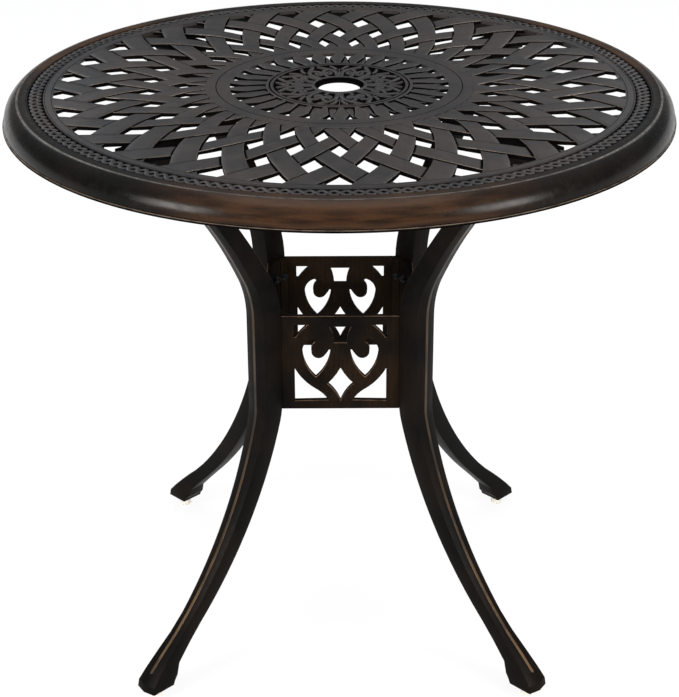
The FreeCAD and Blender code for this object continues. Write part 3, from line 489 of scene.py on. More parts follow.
def paint(bm, material, radii, heights):
    """Give the faces between two radii and two heights another material."""
    for face in bm.faces:
        middle = face.calc_center_median()
        radius = math.hypot(middle.x, middle.y) / MM
        if radii[0] < radius < radii[1] and heights[0] < middle.z / MM < heights[1]:
            face.material_index = material


def turned_piece(name, section, materials, paints=()):
    """A casting spun from a closed outline of (radius, height) in mm, and then painted."""
    bm = bmesh.new()
    verts, edges = closed_outline(bm, [(radius * MM, 0, height * MM)
                                       for radius, height in section])
    bmesh.ops.spin(bm, geom=verts + edges, cent=(0, 0, 0), axis=(0, 0, 1), angle=math.tau,
                   steps=RING_STEPS, use_merge=True)
    for number, radii, heights in paints:
        paint(bm, number, radii, heights)
    make_piece(bm, name, materials)


# %% [markdown]
# The rim is a hollow shell, open below, with a flat border, a scribed line and a small raised
# ridge on top. Two arcs that run into each other without a kink make its round side: a tight
# one over the ridge, and a wide one down to the bead at the foot. The inner wall repeats the
# wide one, smaller by the wall. The rag has left bronze on the bead's shoulder and the ridge,
# bright enough to be their painted highlights too. The groove above the bead and the foot
# below it get painted shade.

# %% The rim
TOP = 722.0
BORDER = 721.6
PLATE_BOTTOM = 717.0
RIM_BOTTOM = 691.95
RIM_WALL = 4.5
CROWN_CENTRE, CROWN_ROUND = (381.0, 715.65), 6.1
SIDE_CENTRE, SIDE_ROUND = (369.6, 695.9), 28.9

rim_section = [(369.0, PLATE_BOTTOM), (369.0, 721.1), (369.3, 721.5), (370.5, BORDER),
               (370.9, 721.1), (371.3, BORDER), (379.9, BORDER), (380.4, 721.75)]
rim_section += arc(CROWN_CENTRE, CROWN_ROUND, 88.0, 66.0, 3)
rim_section += arc(SIDE_CENTRE, SIDE_ROUND, 60.0, 0.0, 14)
rim_section += [(398.3, 695.7), (397.9, 695.3), (398.3, 695.0), (399.3, 694.9), (399.8, 694.4),
                (399.95, 693.7), (399.9, 692.7), (399.5, 692.1), (398.9, RIM_BOTTOM),
                (394.6, RIM_BOTTOM), (394.0, 692.5)]
rim_section += arc(SIDE_CENTRE, SIDE_ROUND - RIM_WALL, 0.0, 57.0, 6)
rim_section += [(381.9, PLATE_BOTTOM)]
# Material, radii and heights of the bead's shoulder, groove and foot, and of the ridge; the
# shoulder and the ridge get bronze that paints their highlights, the groove and foot painted
# shade
RIM_PAINTS = [(1, (398.5, 399.7), (694.5, 695.0)), (2, (397.9, 398.5), (695.0, 695.95)),
              (2, (393.9, 400.0), (691.9, 694.2)), (3, (379.8, 382.4), (721.4, 721.9))]
turned_piece("hollow_rim", rim_section, [coat_rim, edge_rim, coat_painted_shade, edge_top], RIM_PAINTS)

# %% The plain rings and the channel of the chain border
plain_rings = {
    "ring_outside_weave": [(339.7, PLATE_BOTTOM), (339.7, 721.2), (340.1, BORDER),
                           (341.2, BORDER), (341.5, 721.15), (341.8, BORDER), (348.9, BORDER),
                           (349.2, 721.15), (349.5, BORDER), (350.6, BORDER), (351.0, 721.2),
                           (351.0, PLATE_BOTTOM)],
    "medallion_ring": [(131.2, PLATE_BOTTOM), (131.2, 721.2), (131.8, 721.7), (146.9, 721.7),
                       (147.4, 720.4), (147.9, 721.7), (160.0, 721.7), (160.6, 721.2),
                       (160.6, PLATE_BOTTOM)],
    "double_bead_ring": [(78.3, PLATE_BOTTOM), (78.3, 720.9), (79.2, 721.6), (80.9, 721.9),
                         (82.6, 721.6), (83.6, 720.0), (84.6, 721.6), (86.3, 721.9),
                         (88.1, 721.6), (89.0, 720.9), (89.0, PLATE_BOTTOM)],
    "umbrella_hub": [(25.4, 715.3), (25.4, 717.5), (25.7, 717.8), (29.5, 717.8), (29.5, 721.2),
                     (30.1, 721.8), (31.4, TOP), (32.8, 721.8), (33.8, 721.0), (33.8, 714.0),
                     (29.5, 714.0), (29.5, 715.3)],
}
# Painted shade in the hub's recess, the double bead's three grooves and the scribed lines
GROOVES = [(1, (25.0, 29.7), (714.0, 721.3)), (1, (78.2, 79.2), (716.0, 721.5)),
           (1, (82.7, 84.5), (719.8, 721.4)), (1, (88.2, 89.1), (716.0, 721.5)),
           (1, (147.0, 147.8), (720.0, 721.5)), (1, (341.2, 341.8), (721.0, 721.5)),
           (1, (348.9, 349.5), (721.0, 721.5))]
CHANNEL_FLOOR = 720.0


def flat_ring(name, inner, outer, top):
    """A plain ring in near-black painted shade between two radii, from the plate's underside up
    to a height.
    """
    turned_piece(name, [(inner, PLATE_BOTTOM), (inner, top), (outer, top),
                        (outer, PLATE_BOTTOM)], [coat_painted_shade])


for name, section in plain_rings.items():
    turned_piece(name, section, [coat_top, coat_painted_shade], GROOVES)
# The channel floor under the chain is painted shade
flat_ring("chain_channel", 350.9, 369.1, CHANNEL_FLOOR)


# %% [markdown]
# ## The chain border
# Two strands wind round each other in a shallow channel, a guilloche with an eye every two
# degrees. It could be a picture pressed into the surface, but the low sun of a garden would
# show that at once. One short length of a strand, a small grid bent into a wave and raised at
# its middle, is copied round the table and welded into an endless band.

# %% One wave of a strand, ninety times
CHAIN_MIDDLE = 360.0
WAVES = 90
WAVE_HEIGHT = 5.6
STRAND_HALF = 2.3
CROSSING_RISE = 0.45
STRAND_TOP, STRAND_CROWN = 721.2, 0.75
STRAND_SUNK = 0.5


def chain_strand(name, hand):
    """One endless strand. hand is 1 or -1, and the two strands mirror each other."""
    length = math.tau * CHAIN_MIDDLE / WAVES
    bm = bmesh.new()
    bmesh.ops.create_grid(bm, x_segments=12, y_segments=4, size=1.0)
    for vert in bm.verts:
        turn = math.pi * (vert.co.x + 1)
        across = vert.co.y
        slope = hand * WAVE_HEIGHT * math.cos(turn) * math.tau / length
        lean = math.hypot(1.0, slope)
        along = length * turn / math.tau - across * STRAND_HALF * slope / lean
        radius = CHAIN_MIDDLE + hand * WAVE_HEIGHT * math.sin(turn) + across * STRAND_HALF / lean
        height = (STRAND_TOP + hand * CROSSING_RISE * math.cos(turn)
                  - STRAND_CROWN * across * across)
        vert.co = polar(radius, math.degrees(along / CHAIN_MIDDLE), height)
    copy_round(bm, WAVES)
    bmesh.ops.remove_doubles(bm, verts=bm.verts, dist=0.02 * MM)
    close_below(bm, CHANNEL_FLOOR - STRAND_SUNK)
    make_piece(bm, name, [coat_top], sharp=60.0)


chain_strand("chain_strand_first", 1)
chain_strand("chain_strand_second", -1)

# %% [markdown]
# ## The basket weave
# Thirty flat bands wind one way and thirty the other, each over one and under the next. In the
# casting they are one piece with a flat underside. Each band here starts as a plain grid. Its
# two grid directions become "across the band" and "which row of crossings", kept as a UV map,
# and then every point is moved to its radius, angle and height. The height follows a wave that
# peaks where the band passes over, and because it is measured towards the other bands' edges,
# the bends run parallel to them, as in real basketwork.

# %% The bands' course
ROW_RADII = [(0, 380.5), (1, 330.0), (2, 278.6), (3, 228.9), (4, 184.9), (5, 141.0)]
FIRST_ROW, LAST_ROW = 0.80, 4.64
BAND_COUNT = 30
BAND_HALF_ANGLE = 3.0
ROW_TURN = 6.0
BAND_MIDDLE, BAND_RISE, BAND_BOTTOM = 721.0, 0.55, 716.4
BAND_SOFT = 0.6
UNDERSIDE_STEP = 0.25  # so that no two undersides share a plane


def band_point(across, row, hand):
    """Place of a point of a band, and its row counted towards the other bands' edges."""
    crossed = row + hand * across * BAND_HALF_ANGLE / (2 * ROW_TURN)
    wave = hand * math.cos(math.pi * (crossed - 1))
    flat_wave = math.sin(math.pi / 2 * wave)
    degrees = ROW_TURN + hand * ROW_TURN * (row - 1) + across * BAND_HALF_ANGLE
    radius = between(ROW_RADII, row)[0]
    return polar(radius, degrees, BAND_MIDDLE + BAND_RISE * flat_wave), crossed


# %% [markdown]
# A dark line of painted shade lies in the corner where one band dives below another. The UV
# map knows where that is: half a band's width beside every second crossing.

# %% The dark line beside each crossing
SHADE_LINE_EDGE = (0.28, 0.33)
SHADE_LINE_COLOUR, CREST_COLOUR, CREST_SHARE = "#040404", "#4c443c", 0.08


def crossing_shade_lines(first_under):
    """Painted shade that darkens and dulls the coat beside the crossings where a band dives."""
    def glaze_and_shade(tree, colour, shine):
        place = add(tree, "UVMap", uv_map="band").outputs[0]
        row = add(tree, "SeparateXYZ", {0: place}).outputs["Y"]
        away = computed(tree, "SUBTRACT", row, first_under)
        distance = computed(tree, "PINGPONG", away, 1.0)
        dark = remapped(tree, distance, *SHADE_LINE_EDGE, 1.0, 0.0)
        shaded = mixed(tree, dark, colour, linear(SHADE_LINE_COLOUR))
        crest = remapped(tree, distance, 0.7, 1.0, 0.0, CREST_SHARE)
        dull = remapped(tree, dark, 0.0, 1.0, shine, 0.0)
        return mixed(tree, crest, shaded, linear(CREST_COLOUR)), dull
    return glaze_and_shade


coat_bands = {hand: bronze_coat(f"bronze_powder_coat_bands_{which}", *TOP_COAT,
                                glaze_and_shade=crossing_shade_lines(first_under))
              for hand, which, first_under in ((1, "first", 2), (-1, "second", 1))}
print("coats of the bands:", [coat.name for coat in coat_bands.values()])


# %% Thirty bands each way
def weave_bands(name, hand, bottom):
    """All bands that wind one way."""
    bm = bmesh.new()
    bmesh.ops.create_grid(bm, x_segments=4, y_segments=56, size=1.0)
    band_map = bm.loops.layers.uv.new("band")
    places = {}
    for vert in bm.verts:
        row = FIRST_ROW + (LAST_ROW - FIRST_ROW) * (vert.co.y + 1) / 2
        places[vert] = (vert.co.x, *band_point(vert.co.x, row, hand))
    for face in bm.faces:
        for loop in face.loops:
            loop[band_map].uv = (places[loop.vert][0], places[loop.vert][2])
    sides = long_sides(bm)
    for vert in bm.verts:
        vert.co = places[vert][1]
    close_below(bm, bottom)
    # The walls get painted shade, and the softened sides the rubbed bronze that paints their
    # highlights
    shade_walls(bm, 2)
    soften(bm, sides, BAND_SOFT, material=1)
    copy_round(bm, BAND_COUNT)
    make_piece(bm, name, [coat_bands[hand], edge_top, coat_painted_shade])


weave_bands("weave_bands_first", 1, BAND_BOTTOM)
weave_bands("weave_bands_second", -1, BAND_BOTTOM - UNDERSIDE_STEP)


# %% [markdown]
# ## The ring of leaves
# Inside the medallion ring, thirty broad leaf tips overlap thirty lower ones like a fan, with
# open notches between the tips. A leaf is again a small grid, this time laid between two side
# lines and crowned at its middle, and copied round thirty times. Its walls and softened sides
# get painted shade, which outlines each leaf in black. A ring in painted shade lies below the
# lower tips, where the casting is closed.

# %% Leaves
LEAF_ROWS = [(86.5, -0.6, 3.4), (112.5, -3.2, 6.05), (119.0, -3.9, 4.8), (132.5, -2.2, 2.3)]
LOW_LEAF_ROWS = [(86.5, -8.0, -1.2), (112.5, -5.5, -3.6), (121.5, -4.2, -3.4)]
LEAF_COUNT = 30
LEAF_SOFT = 0.45


def leaf_ring(name, rows, edge_height, crown, steps):
    """Thirty leaves between two side lines, given as rows of (radius, left, right)."""
    bm = bmesh.new()
    bmesh.ops.create_grid(bm, x_segments=6, y_segments=steps, size=1.0)
    sides = long_sides(bm)
    for vert in bm.verts:
        radius = rows[0][0] + (rows[-1][0] - rows[0][0]) * (vert.co.y + 1) / 2
        left, right = between(rows, radius)
        degrees = left + (right - left) * (vert.co.x + 1) / 2
        vert.co = polar(radius, degrees, edge_height + crown * (1 - vert.co.x ** 2))
    close_below(bm, PLATE_BOTTOM)
    # Walls and softened sides in painted shade outline each leaf
    shade_walls(bm, 1)
    soften(bm, sides, LEAF_SOFT, material=1)
    copy_round(bm, LEAF_COUNT)
    make_piece(bm, name, [coat_top, coat_painted_shade])


# The ring below the leaves is painted shade
flat_ring("leaf_ground", 88.5, 112.0, top=718.4)
leaf_ring("leaf_tips", LEAF_ROWS, edge_height=720.7, crown=1.0, steps=16)
leaf_ring("lower_leaf_tips", LOW_LEAF_ROWS, edge_height=719.2, crown=0.9, steps=12)

# %% [markdown]
# ## Openwork plates
# The medallion and the waist panels are flat castings with openings. A flat curve fills the
# space between its closed outlines by itself, and its bevel softens every edge at once, which
# is what a sand mould does. An opening is a short list of corners. A corner's third number, its
# bulge, makes the side after it an arc: the tangent of a quarter of the arc's sweep.

# %% Flat castings from outlines
ARC_STEP = math.radians(7)


def side_points(start, end, bulge):
    """Points of one side of an outline, without its end."""
    start, end = Vector(start), Vector(end)
    if not bulge:
        return [start]
    chord = end - start
    half_sweep = 2 * math.atan(bulge)
    left = Vector((-chord.y, chord.x)) / 2
    centre = (start + end) / 2 + left / math.tan(half_sweep)
    steps = max(3, math.ceil(2 * abs(half_sweep) / ARC_STEP))
    points = []
    for number in range(steps):
        spoke = start - centre
        spoke.rotate(Matrix.Rotation(2 * half_sweep * number / steps, 2))
        points.append(centre + spoke)
    return points


def add_curve(bm, curve, place):
    """Add a curve to a bmesh as a mesh, moved to its place."""
    holder = bpy.data.objects.new("drawn_curve", curve)
    mesh = bpy.data.meshes.new_from_object(holder)
    mesh.transform(place)
    bm.from_mesh(mesh)
    bpy.data.meshes.remove(mesh)
    bpy.data.objects.remove(holder)
    bpy.data.curves.remove(curve)


def openwork(bm, outlines, thickness, soft, place):
    """Add a flat casting between outlines of (x, y, bulge) in mm, and put it in its place."""
    curve = bpy.data.curves.new("openwork", "CURVE")
    curve.dimensions = "2D"
    curve.fill_mode = "BOTH"
    curve.extrude = (thickness / 2 - soft) * MM
    curve.bevel_depth = soft * MM
    curve.bevel_resolution = 2
    curve.offset = -soft * MM
    for outline in outlines:
        points = []
        for corner, after in zip(outline, outline[1:] + outline[:1]):
            points += side_points(corner[:2], after[:2], corner[2])
        spline = curve.splines.new("POLY")
        spline.points.add(len(points) - 1)
        for point, spot in zip(spline.points, points):
            point.co = (spot.x * MM, spot.y * MM, 0, 1)
        spline.use_cyclic_u = True
    add_curve(bm, curve, place)


# %% [markdown]
# ## The scrolled medallion
# A thin plate lies round the hub, with eight small bays and sixteen slits. On it, eight double
# stems grow out of the hub and part into a Y near the ring, and between them pairs of volutes
# curl inwards. A scroll is a bent rod, so each is a smooth curve through a few points, given a
# round section, made a mesh and pressed a little flat. Half a bay is drawn, mirrored, and
# copied eight times.

# %% The plate under the scrolls
PLATE_TOP, PLATE_SOFT = 720.0, 0.3
STEMS = 8
SECTOR_ANGLE = 360 / STEMS
SECTOR_BULGE = math.tan(math.radians(SECTOR_ANGLE / 4))
SECTOR = [(33.5, 0.05, SECTOR_BULGE), (33.5, SECTOR_ANGLE - 0.05, 0.0),
          (78.6, SECTOR_ANGLE - 0.05, -SECTOR_BULGE), (78.6, 0.05, 0.0)]
BAY = [(37.5, 13.0, 0.12), (37.5, 32.0, 0.2), (44.7, 22.5, 0.2)]
SLIT = [(55.0, 11.5, 0.0), (63.0, 13.4, 0.0), (71.0, 11.5, 0.0), (63.0, 9.6, 0.0)]


def flat(outline, side=1, turn=0.0):
    """Corners (x, y, bulge) of an outline of (radius, angle, bulge), mirrored and turned."""
    return [(*polar(radius, side * angle + turn, 0).xy / MM, side * bulge)
            for radius, angle, bulge in outline]


bm = bmesh.new()
plate_middle = Matrix.Translation((0, 0, (PLATE_TOP + PLATE_BOTTOM) / 2 * MM))
openwork(bm, [flat(SECTOR), flat(BAY), flat(SLIT), flat(SLIT, -1, SECTOR_ANGLE)],
         PLATE_TOP - PLATE_BOTTOM, PLATE_SOFT, plate_middle)
copy_round(bm, STEMS)
# The plate is near black: painted shade under the scrolls
make_piece(bm, "medallion_plate", [coat_painted_shade])

# %% Scrolls
SCROLL_MIDDLE = 719.5
SCROLL_HALF_HEIGHT = 2.4
# Half width, then points of (angle, radius): stem, volute, middle bar, inner branch
SCROLLS = [
    (3.2, [(3.6, 32.5), (3.6, 40), (3.3, 48), (5.0, 56), (9.5, 63), (14.5, 69), (20.0, 77.5)]),
    (2.7, [(11.0, 66), (15.5, 63.5), (20.2, 58.5), (21.0, 51.0), (18.0, 45.5), (12.6, 45.8),
           (10.9, 51.2), (14.0, 54.4), (16.8, 51.6), (15.2, 49.6)]),
    (2.4, [(22.5, 33.0), (22.5, 38), (22.5, 45.0)]),
    (2.4, [(2.9, 60.0), (3.2, 66), (5.0, 71), (8.0, 76.5)]),
]


def rod(bm, points, half_width):
    """A round rod along a smooth curve through points of (angle, radius)."""
    curve = bpy.data.curves.new("rod", "CURVE")
    curve.dimensions = "3D"
    curve.bevel_depth = half_width * MM
    curve.bevel_resolution = 2
    curve.resolution_u = 5
    curve.use_fill_caps = True
    spline = curve.splines.new("NURBS")
    spline.points.add(len(points) - 1)
    for point, (degrees, radius) in zip(spline.points, points):
        point.co = (*polar(radius, degrees, 0), 1.0)
    spline.order_u = min(4, len(points))
    spline.use_endpoint_u = True
    add_curve(bm, curve, Matrix.Translation((0, 0, SCROLL_MIDDLE * MM))
              @ Matrix.Diagonal((1, 1, SCROLL_HALF_HEIGHT / half_width, 1)))


bm = bmesh.new()
for half_width, points in SCROLLS:
    for side in (1, -1):
        rod(bm, [(side * degrees, radius) for degrees, radius in points], half_width)
copy_round(bm, STEMS)
make_piece(bm, "medallion_scrolls", [coat_top], sharp=60.0)

# %% [markdown]
# ## Bosses under the top
# The legs bolt to four flat pads cast under the plate. They are seen from below only, so a
# slab with softened edges is enough.

# %% Bosses
LEGS = {"front_left": -135.0, "front_right": -45.0, "back_right": 45.0, "back_left": 135.0}
BOSS_LOW, BOSS_HIGH, BOSS_SOFT = (260.0, -20.0, 711.0), (326.0, 20.0, 717.9), 1.0


def slab(bm, low, high, width):
    """A block between two corners in mm, its edges softened by a width."""
    size = [b - a for a, b in zip(low, high)]
    middle = [(a + b) / 2 for a, b in zip(low, high)]
    made = bmesh.ops.create_cube(bm, size=1.0, matrix=Matrix.Translation(Vector(middle) * MM)
                                 @ Matrix.Diagonal((*[s * MM for s in size], 1)))
    soften(bm, edges_at(made["verts"]), width, segments=3)


bm = bmesh.new()
for turn in LEGS.values():
    before = set(bm.verts)
    slab(bm, BOSS_LOW, BOSS_HIGH, BOSS_SOFT)
    turn_about_axis(bm, [vert for vert in bm.verts if vert not in before], turn)
# The pads are near black: painted shade under the top
make_piece(bm, "leg_bosses", [coat_painted_shade])

# %% [markdown]
# ## The bowed legs
# A leg is one casting from the foot to the tab under the top. Its section is a square with a
# low ridge on the outer side. It changes all the way: wide at the foot, thin at the ankle,
# square at the waist and flatter under the top. A section drawn once and extruded from station
# to station, each step moved, leaned and scaled, follows that exactly, where a curve with one
# profile could not. The stations are the same arcs as in the CAD.

# %% Stations of a leg
AXIS, WAIST_BOTTOM, WAIST_TOP = 133.5, 340.0, 458.0
KNEE_ROUND, KNEE_ANGLE, SHIN_ROUND, ANKLE_ANGLE = 78.0, 15.0, 534.0, 44.0
SHOULDER_ROUND, SHOULDER_ANGLE = 120.7, 27.8
ARM_END, ARM_SWEEP = Vector((297.8, 714.4)), 18.8
WAIST_SIZE, ANKLE_SIZE, TOP_WIDTH, TOP_DEPTH = 31.5, 20.4, 27.0, 23.5
SOLE_RADIUS, SOLE_HEIGHT, SOLE_LENGTH, SOLE_WIDTH, FOOT_RISE = 331.5, 14.7, 36.4, 32.0, 16.5
KNEE_SHARE = 0.07
DEPTH_SHARE, DEPTH_RATE = 0.55, 1.6  # how far the section has changed at the end of the
WIDTH_SHARE, WIDTH_RATE = 0.35, 1.3  # shoulder, and how fast it goes on along the arm


def share_of(first, last, share):
    """A value part of the way from one to another."""
    return first + (last - first) * share


def shin(share):
    """Station between the knee, 0, and the ankle, 1."""
    angle = math.radians(share_of(KNEE_ANGLE, ANKLE_ANGLE, share))
    knee = math.radians(KNEE_ANGLE)
    size = share_of(WAIST_SIZE, ANKLE_SIZE, share_of(KNEE_SHARE, 1.0, share))
    return (AXIS + KNEE_ROUND * (1 - math.cos(knee))
            + SHIN_ROUND * (math.cos(knee) - math.cos(angle)),
            WAIST_BOTTOM - KNEE_ROUND * math.sin(knee)
            - SHIN_ROUND * (math.sin(angle) - math.sin(knee)),
            -math.degrees(angle), size, size)


def knee_bend(share):
    """Station on the small bend below the waist, from the waist, 0, to the shin, 1."""
    angle = math.radians(KNEE_ANGLE) * share
    size = share_of(WAIST_SIZE, ANKLE_SIZE, KNEE_SHARE * share)
    return (AXIS + KNEE_ROUND * (1 - math.cos(angle)),
            WAIST_BOTTOM - KNEE_ROUND * math.sin(angle), -math.degrees(angle), size, size)


def shoulder_bend(share):
    """Station on the bend above the waist, from the waist, 0, to the arm, 1."""
    angle = math.radians(SHOULDER_ANGLE) * share
    return (AXIS + SHOULDER_ROUND * (1 - math.cos(angle)),
            WAIST_TOP + SHOULDER_ROUND * math.sin(angle), math.degrees(angle),
            share_of(WAIST_SIZE, TOP_DEPTH, DEPTH_SHARE * share ** 2),
            share_of(WAIST_SIZE, TOP_WIDTH, WIDTH_SHARE * share))


def arm(share):
    """Station on the long arc between the shoulder, 0, and the top, 1."""
    start = Vector(shoulder_bend(1.0)[:2])
    chord = ARM_END - start
    lean = math.atan2(chord.x, chord.y)
    half_sweep = math.radians(ARM_SWEEP / 2)
    angle = half_sweep * (2 * share - 1)
    arc_radius = chord.length / 2 / math.sin(half_sweep)
    passed = arc_radius * (math.sin(half_sweep) + math.sin(angle))
    beside = arc_radius * (math.cos(angle) - math.cos(half_sweep))
    return (start.x + passed * math.sin(lean) - beside * math.cos(lean),
            start.y + passed * math.cos(lean) + beside * math.sin(lean),
            math.degrees(lean + angle),
            share_of(WAIST_SIZE, TOP_DEPTH, min(1.0, DEPTH_SHARE + DEPTH_RATE * share)),
            share_of(WAIST_SIZE, TOP_WIDTH, min(1.0, WIDTH_SHARE + WIDTH_RATE * share)))


# %% The foot, and all stations in order
ankle = shin(1.0)
# Radius, height, lean, depth and width, with bare shares of the way from sole to ankle
leg_stations = [
    (SOLE_RADIUS, SOLE_HEIGHT, 0.0, SOLE_LENGTH, SOLE_WIDTH),
    (SOLE_RADIUS - SOLE_LENGTH * 0.06, SOLE_HEIGHT + FOOT_RISE * 0.45, ankle[2] * 0.14,
     SOLE_LENGTH * 1.02, SOLE_WIDTH),
    (SOLE_RADIUS - SOLE_LENGTH * 0.29, SOLE_HEIGHT + FOOT_RISE, ankle[2] * 0.45,
     SOLE_LENGTH * 0.91, share_of(SOLE_WIDTH, ANKLE_SIZE, 0.25)),
    (share_of(SOLE_RADIUS, ankle[0], 0.36), share_of(SOLE_HEIGHT, ankle[1], 0.45),
     ankle[2] * 0.93, share_of(SOLE_LENGTH, ANKLE_SIZE, 0.84),
     share_of(SOLE_WIDTH, ANKLE_SIZE, 0.6)),
    (share_of(SOLE_RADIUS, ankle[0], 0.69), share_of(SOLE_HEIGHT, ankle[1], 0.725), ankle[2],
     ANKLE_SIZE, share_of(SOLE_WIDTH, ANKLE_SIZE, 0.88)),
]
leg_stations += [shin(number / 20) for number in range(20, -1, -1)]
leg_stations += [knee_bend(number / 3) for number in (2, 1, 0)]
leg_stations += [shoulder_bend(number / 6) for number in range(6)]
leg_stations += [arm(number / 16) for number in range(17)]
print("stations of a leg:", len(leg_stations))

# %% [markdown]
# The foot has a hole for the stud that its glide turns on. The sole is left open by the sweep,
# so a small circle is drawn in it, the two loops are bridged, and the circle is drawn up into
# the foot and closed. At the other end the leg is cut off level with the pads, and a flat tab
# with rounded edges takes the bolts.

# %% Build a leg
RIDGE_SHARE = 0.10
CORNER_SOFT, RIDGE_SOFT = 1.0, 2.0
TAB_TOP, TAB_SOFT = 711.0, 1.6
TAB_LOW, TAB_HIGH = (262.0, -18.0, 703.0), (324.0, 18.0, TAB_TOP)
CUT_BELOW = 0.3
STUD_RADIUS, STUD_HOLE, STUD_DEPTH = 328.9, 4.0, 20.3
SECTION = [(-0.5, -0.5), (0.5 - RIDGE_SHARE, -0.5), (0.5, 0.0), (0.5 - RIDGE_SHARE, 0.5),
           (-0.5, 0.5)]


def station_matrix(station):
    """Places the unit section at a station."""
    radius, height, lean, depth, width = station
    return (Matrix.Translation(Vector((radius, 0, height)) * MM)
            @ Matrix.Rotation(math.radians(lean), 4, "Y")
            @ Matrix.Diagonal((depth * MM, width * MM, 1, 1)))


def sweep_leg(bm):
    """Extrude the section's outline from the sole up to the top."""
    before = station_matrix(leg_stations[0])
    edges = closed_outline(bm, [before @ Vector((x, y, 0)) for x, y in SECTION])[1]
    for station in leg_stations[1:]:
        after = station_matrix(station)
        made = bmesh.ops.extrude_edge_only(bm, edges=edges)["geom"]
        edges = edges_of(made)
        bmesh.ops.transform(bm, matrix=after @ before.inverted(), verts=verts_of(made))
        before = after


def long_edges(bm):
    """Edges that run along the leg: its ridge, and its other corners."""
    ridge, corners = [], []
    for edge in bm.edges:
        if len(edge.link_faces) < 2:
            continue
        if all(abs(vert.co.y) < 0.1 * MM for vert in edge.verts):
            ridge.append(edge)
        elif edge.calc_face_angle() > math.radians(9):
            along = (edge.verts[1].co - edge.verts[0].co).normalized()
            first, second = (face.normal for face in edge.link_faces)
            if abs(first.cross(second).normalized().dot(along)) > 0.7:
                corners.append(edge)
    return ridge, corners


def open_sole(bm):
    """Close the sole round the hole for the stud."""
    low = (SOLE_HEIGHT + 1) * MM
    sole = [edge for edge in bm.edges
            if edge.is_boundary and all(vert.co.z < low for vert in edge.verts)]
    place = Matrix.Translation(Vector((STUD_RADIUS, 0, SOLE_HEIGHT)) * MM)
    made = bmesh.ops.create_circle(bm, cap_ends=False, segments=24, radius=STUD_HOLE * MM,
                                   matrix=place)
    circle = edges_at(made["verts"])
    bmesh.ops.bridge_loops(bm, edges=sole + circle)
    made = bmesh.ops.extrude_edge_only(bm, edges=circle)["geom"]
    bmesh.ops.translate(bm, vec=(0, 0, STUD_DEPTH * MM), verts=verts_of(made))
    bmesh.ops.edgeloop_fill(bm, edges=[edge for edge in edges_of(made) if edge.is_boundary])


def cut_level(bm):
    """Cut the leg level with its tab and close the cut."""
    made = bmesh.ops.bisect_plane(bm, geom=bm.verts[:] + bm.edges[:] + bm.faces[:],
                                  plane_co=(0, 0, (TAB_TOP - CUT_BELOW) * MM),
                                  plane_no=(0, 0, 1), clear_outer=True)
    bmesh.ops.edgeloop_fill(bm, edges=edges_of(made["geom_cut"]))


for corner, turn in LEGS.items():
    bm = bmesh.new()
    sweep_leg(bm)
    bmesh.ops.recalc_face_normals(bm, faces=bm.faces)
    bm.normal_update()
    ridge, corners = long_edges(bm)
    soften(bm, corners, CORNER_SOFT, segments=3)
    ridge = [edge for edge in ridge if edge.is_valid]
    # The ridge's bevel gets rubbed bronze, which also paints the highlight along it
    soften(bm, ridge, RIDGE_SOFT, material=1)
    open_sole(bm)
    cut_level(bm)
    slab(bm, TAB_LOW, TAB_HIGH, TAB_SOFT)
    turn_about_axis(bm, bm.verts, turn)
    make_piece(bm, f"bowed_leg_{corner}", [coat_leg, edge_leg], [f"leg_{corner}"], sharp=50.0)

# %% [markdown]
# ## The scrolled waist panels
# A panel is one more openwork plate, with scrolls left standing between its openings: a star, a
# trapezoid, and in mirrored pairs a crescent that curls round its own tip and two corners. The
# two ears, which the screws go through, are mitred slabs behind the legs.

# %% Panel outlines
PANELS = {"front": 0.0, "right": 90.0, "back": 180.0, "left": -90.0}
PANEL_BOTTOM, PANEL_TOP = 332.0, 459.0
PANEL_FACE, PANEL_BACK, PANEL_HALF = 94.23, 86.83, 72.05
WINDOW_HALF, WINDOW_BOTTOM, WINDOW_HEIGHT = 57.4, 343.4, 103.5
# Openings in the window: x from -1 to 1, y from 0 to 1, and the bulge of the next side
STAR = [(0.0, 0.002, -0.13), (0.281, 0.228, -0.09), (0.0, 0.436, -0.09), (-0.281, 0.225, -0.13)]
TRAPEZOID = [(-0.138, 0.771, 0.0), (0.138, 0.771, -0.1), (0.225, 0.976, 0.0),
             (-0.225, 0.976, -0.1)]
CRESCENT = [(-0.60, 0.822, 0.34), (-0.812, 0.65, 0.18), (-0.531, 0.316, 0.195),
            (-0.214, 0.672, 0.7), (-0.250, 0.672, -0.06), (-0.36, 0.59, -0.71),
            (-0.62, 0.66, -0.28), (-0.545, 0.785, 0.45)]
LOWER_CORNER = [(-0.985, 0.0, 0.0), (-0.267, 0.008, 0.12), (-0.50, 0.145, -0.14),
                (-0.985, 0.432, 0.0)]
UPPER_CORNER = [(-1.0, 0.842, 0.0), (-0.96, 0.842, -0.08), (-0.70, 1.0, 0.0), (-1.0, 1.0, 0.0)]
EDGE_SOFT, EAR_SOFT = 1.0, 0.6
MITRE_OUTER, MITRE_INNER = (82.9, -83.4), (77.3, -77.8)
EAR_PLAN = [(PANEL_HALF - 1.5, -PANEL_FACE + 0.8), (PANEL_HALF, -PANEL_FACE), MITRE_OUTER,
            MITRE_INNER, (PANEL_HALF - 3.0, -PANEL_BACK)]


def placed(outline, side):
    """An opening in mm, on the left when side is 1 and mirrored when it is -1."""
    return [(WINDOW_HALF * x * side, WINDOW_BOTTOM + WINDOW_HEIGHT * y, bulge * side)
            for x, y, bulge in outline]


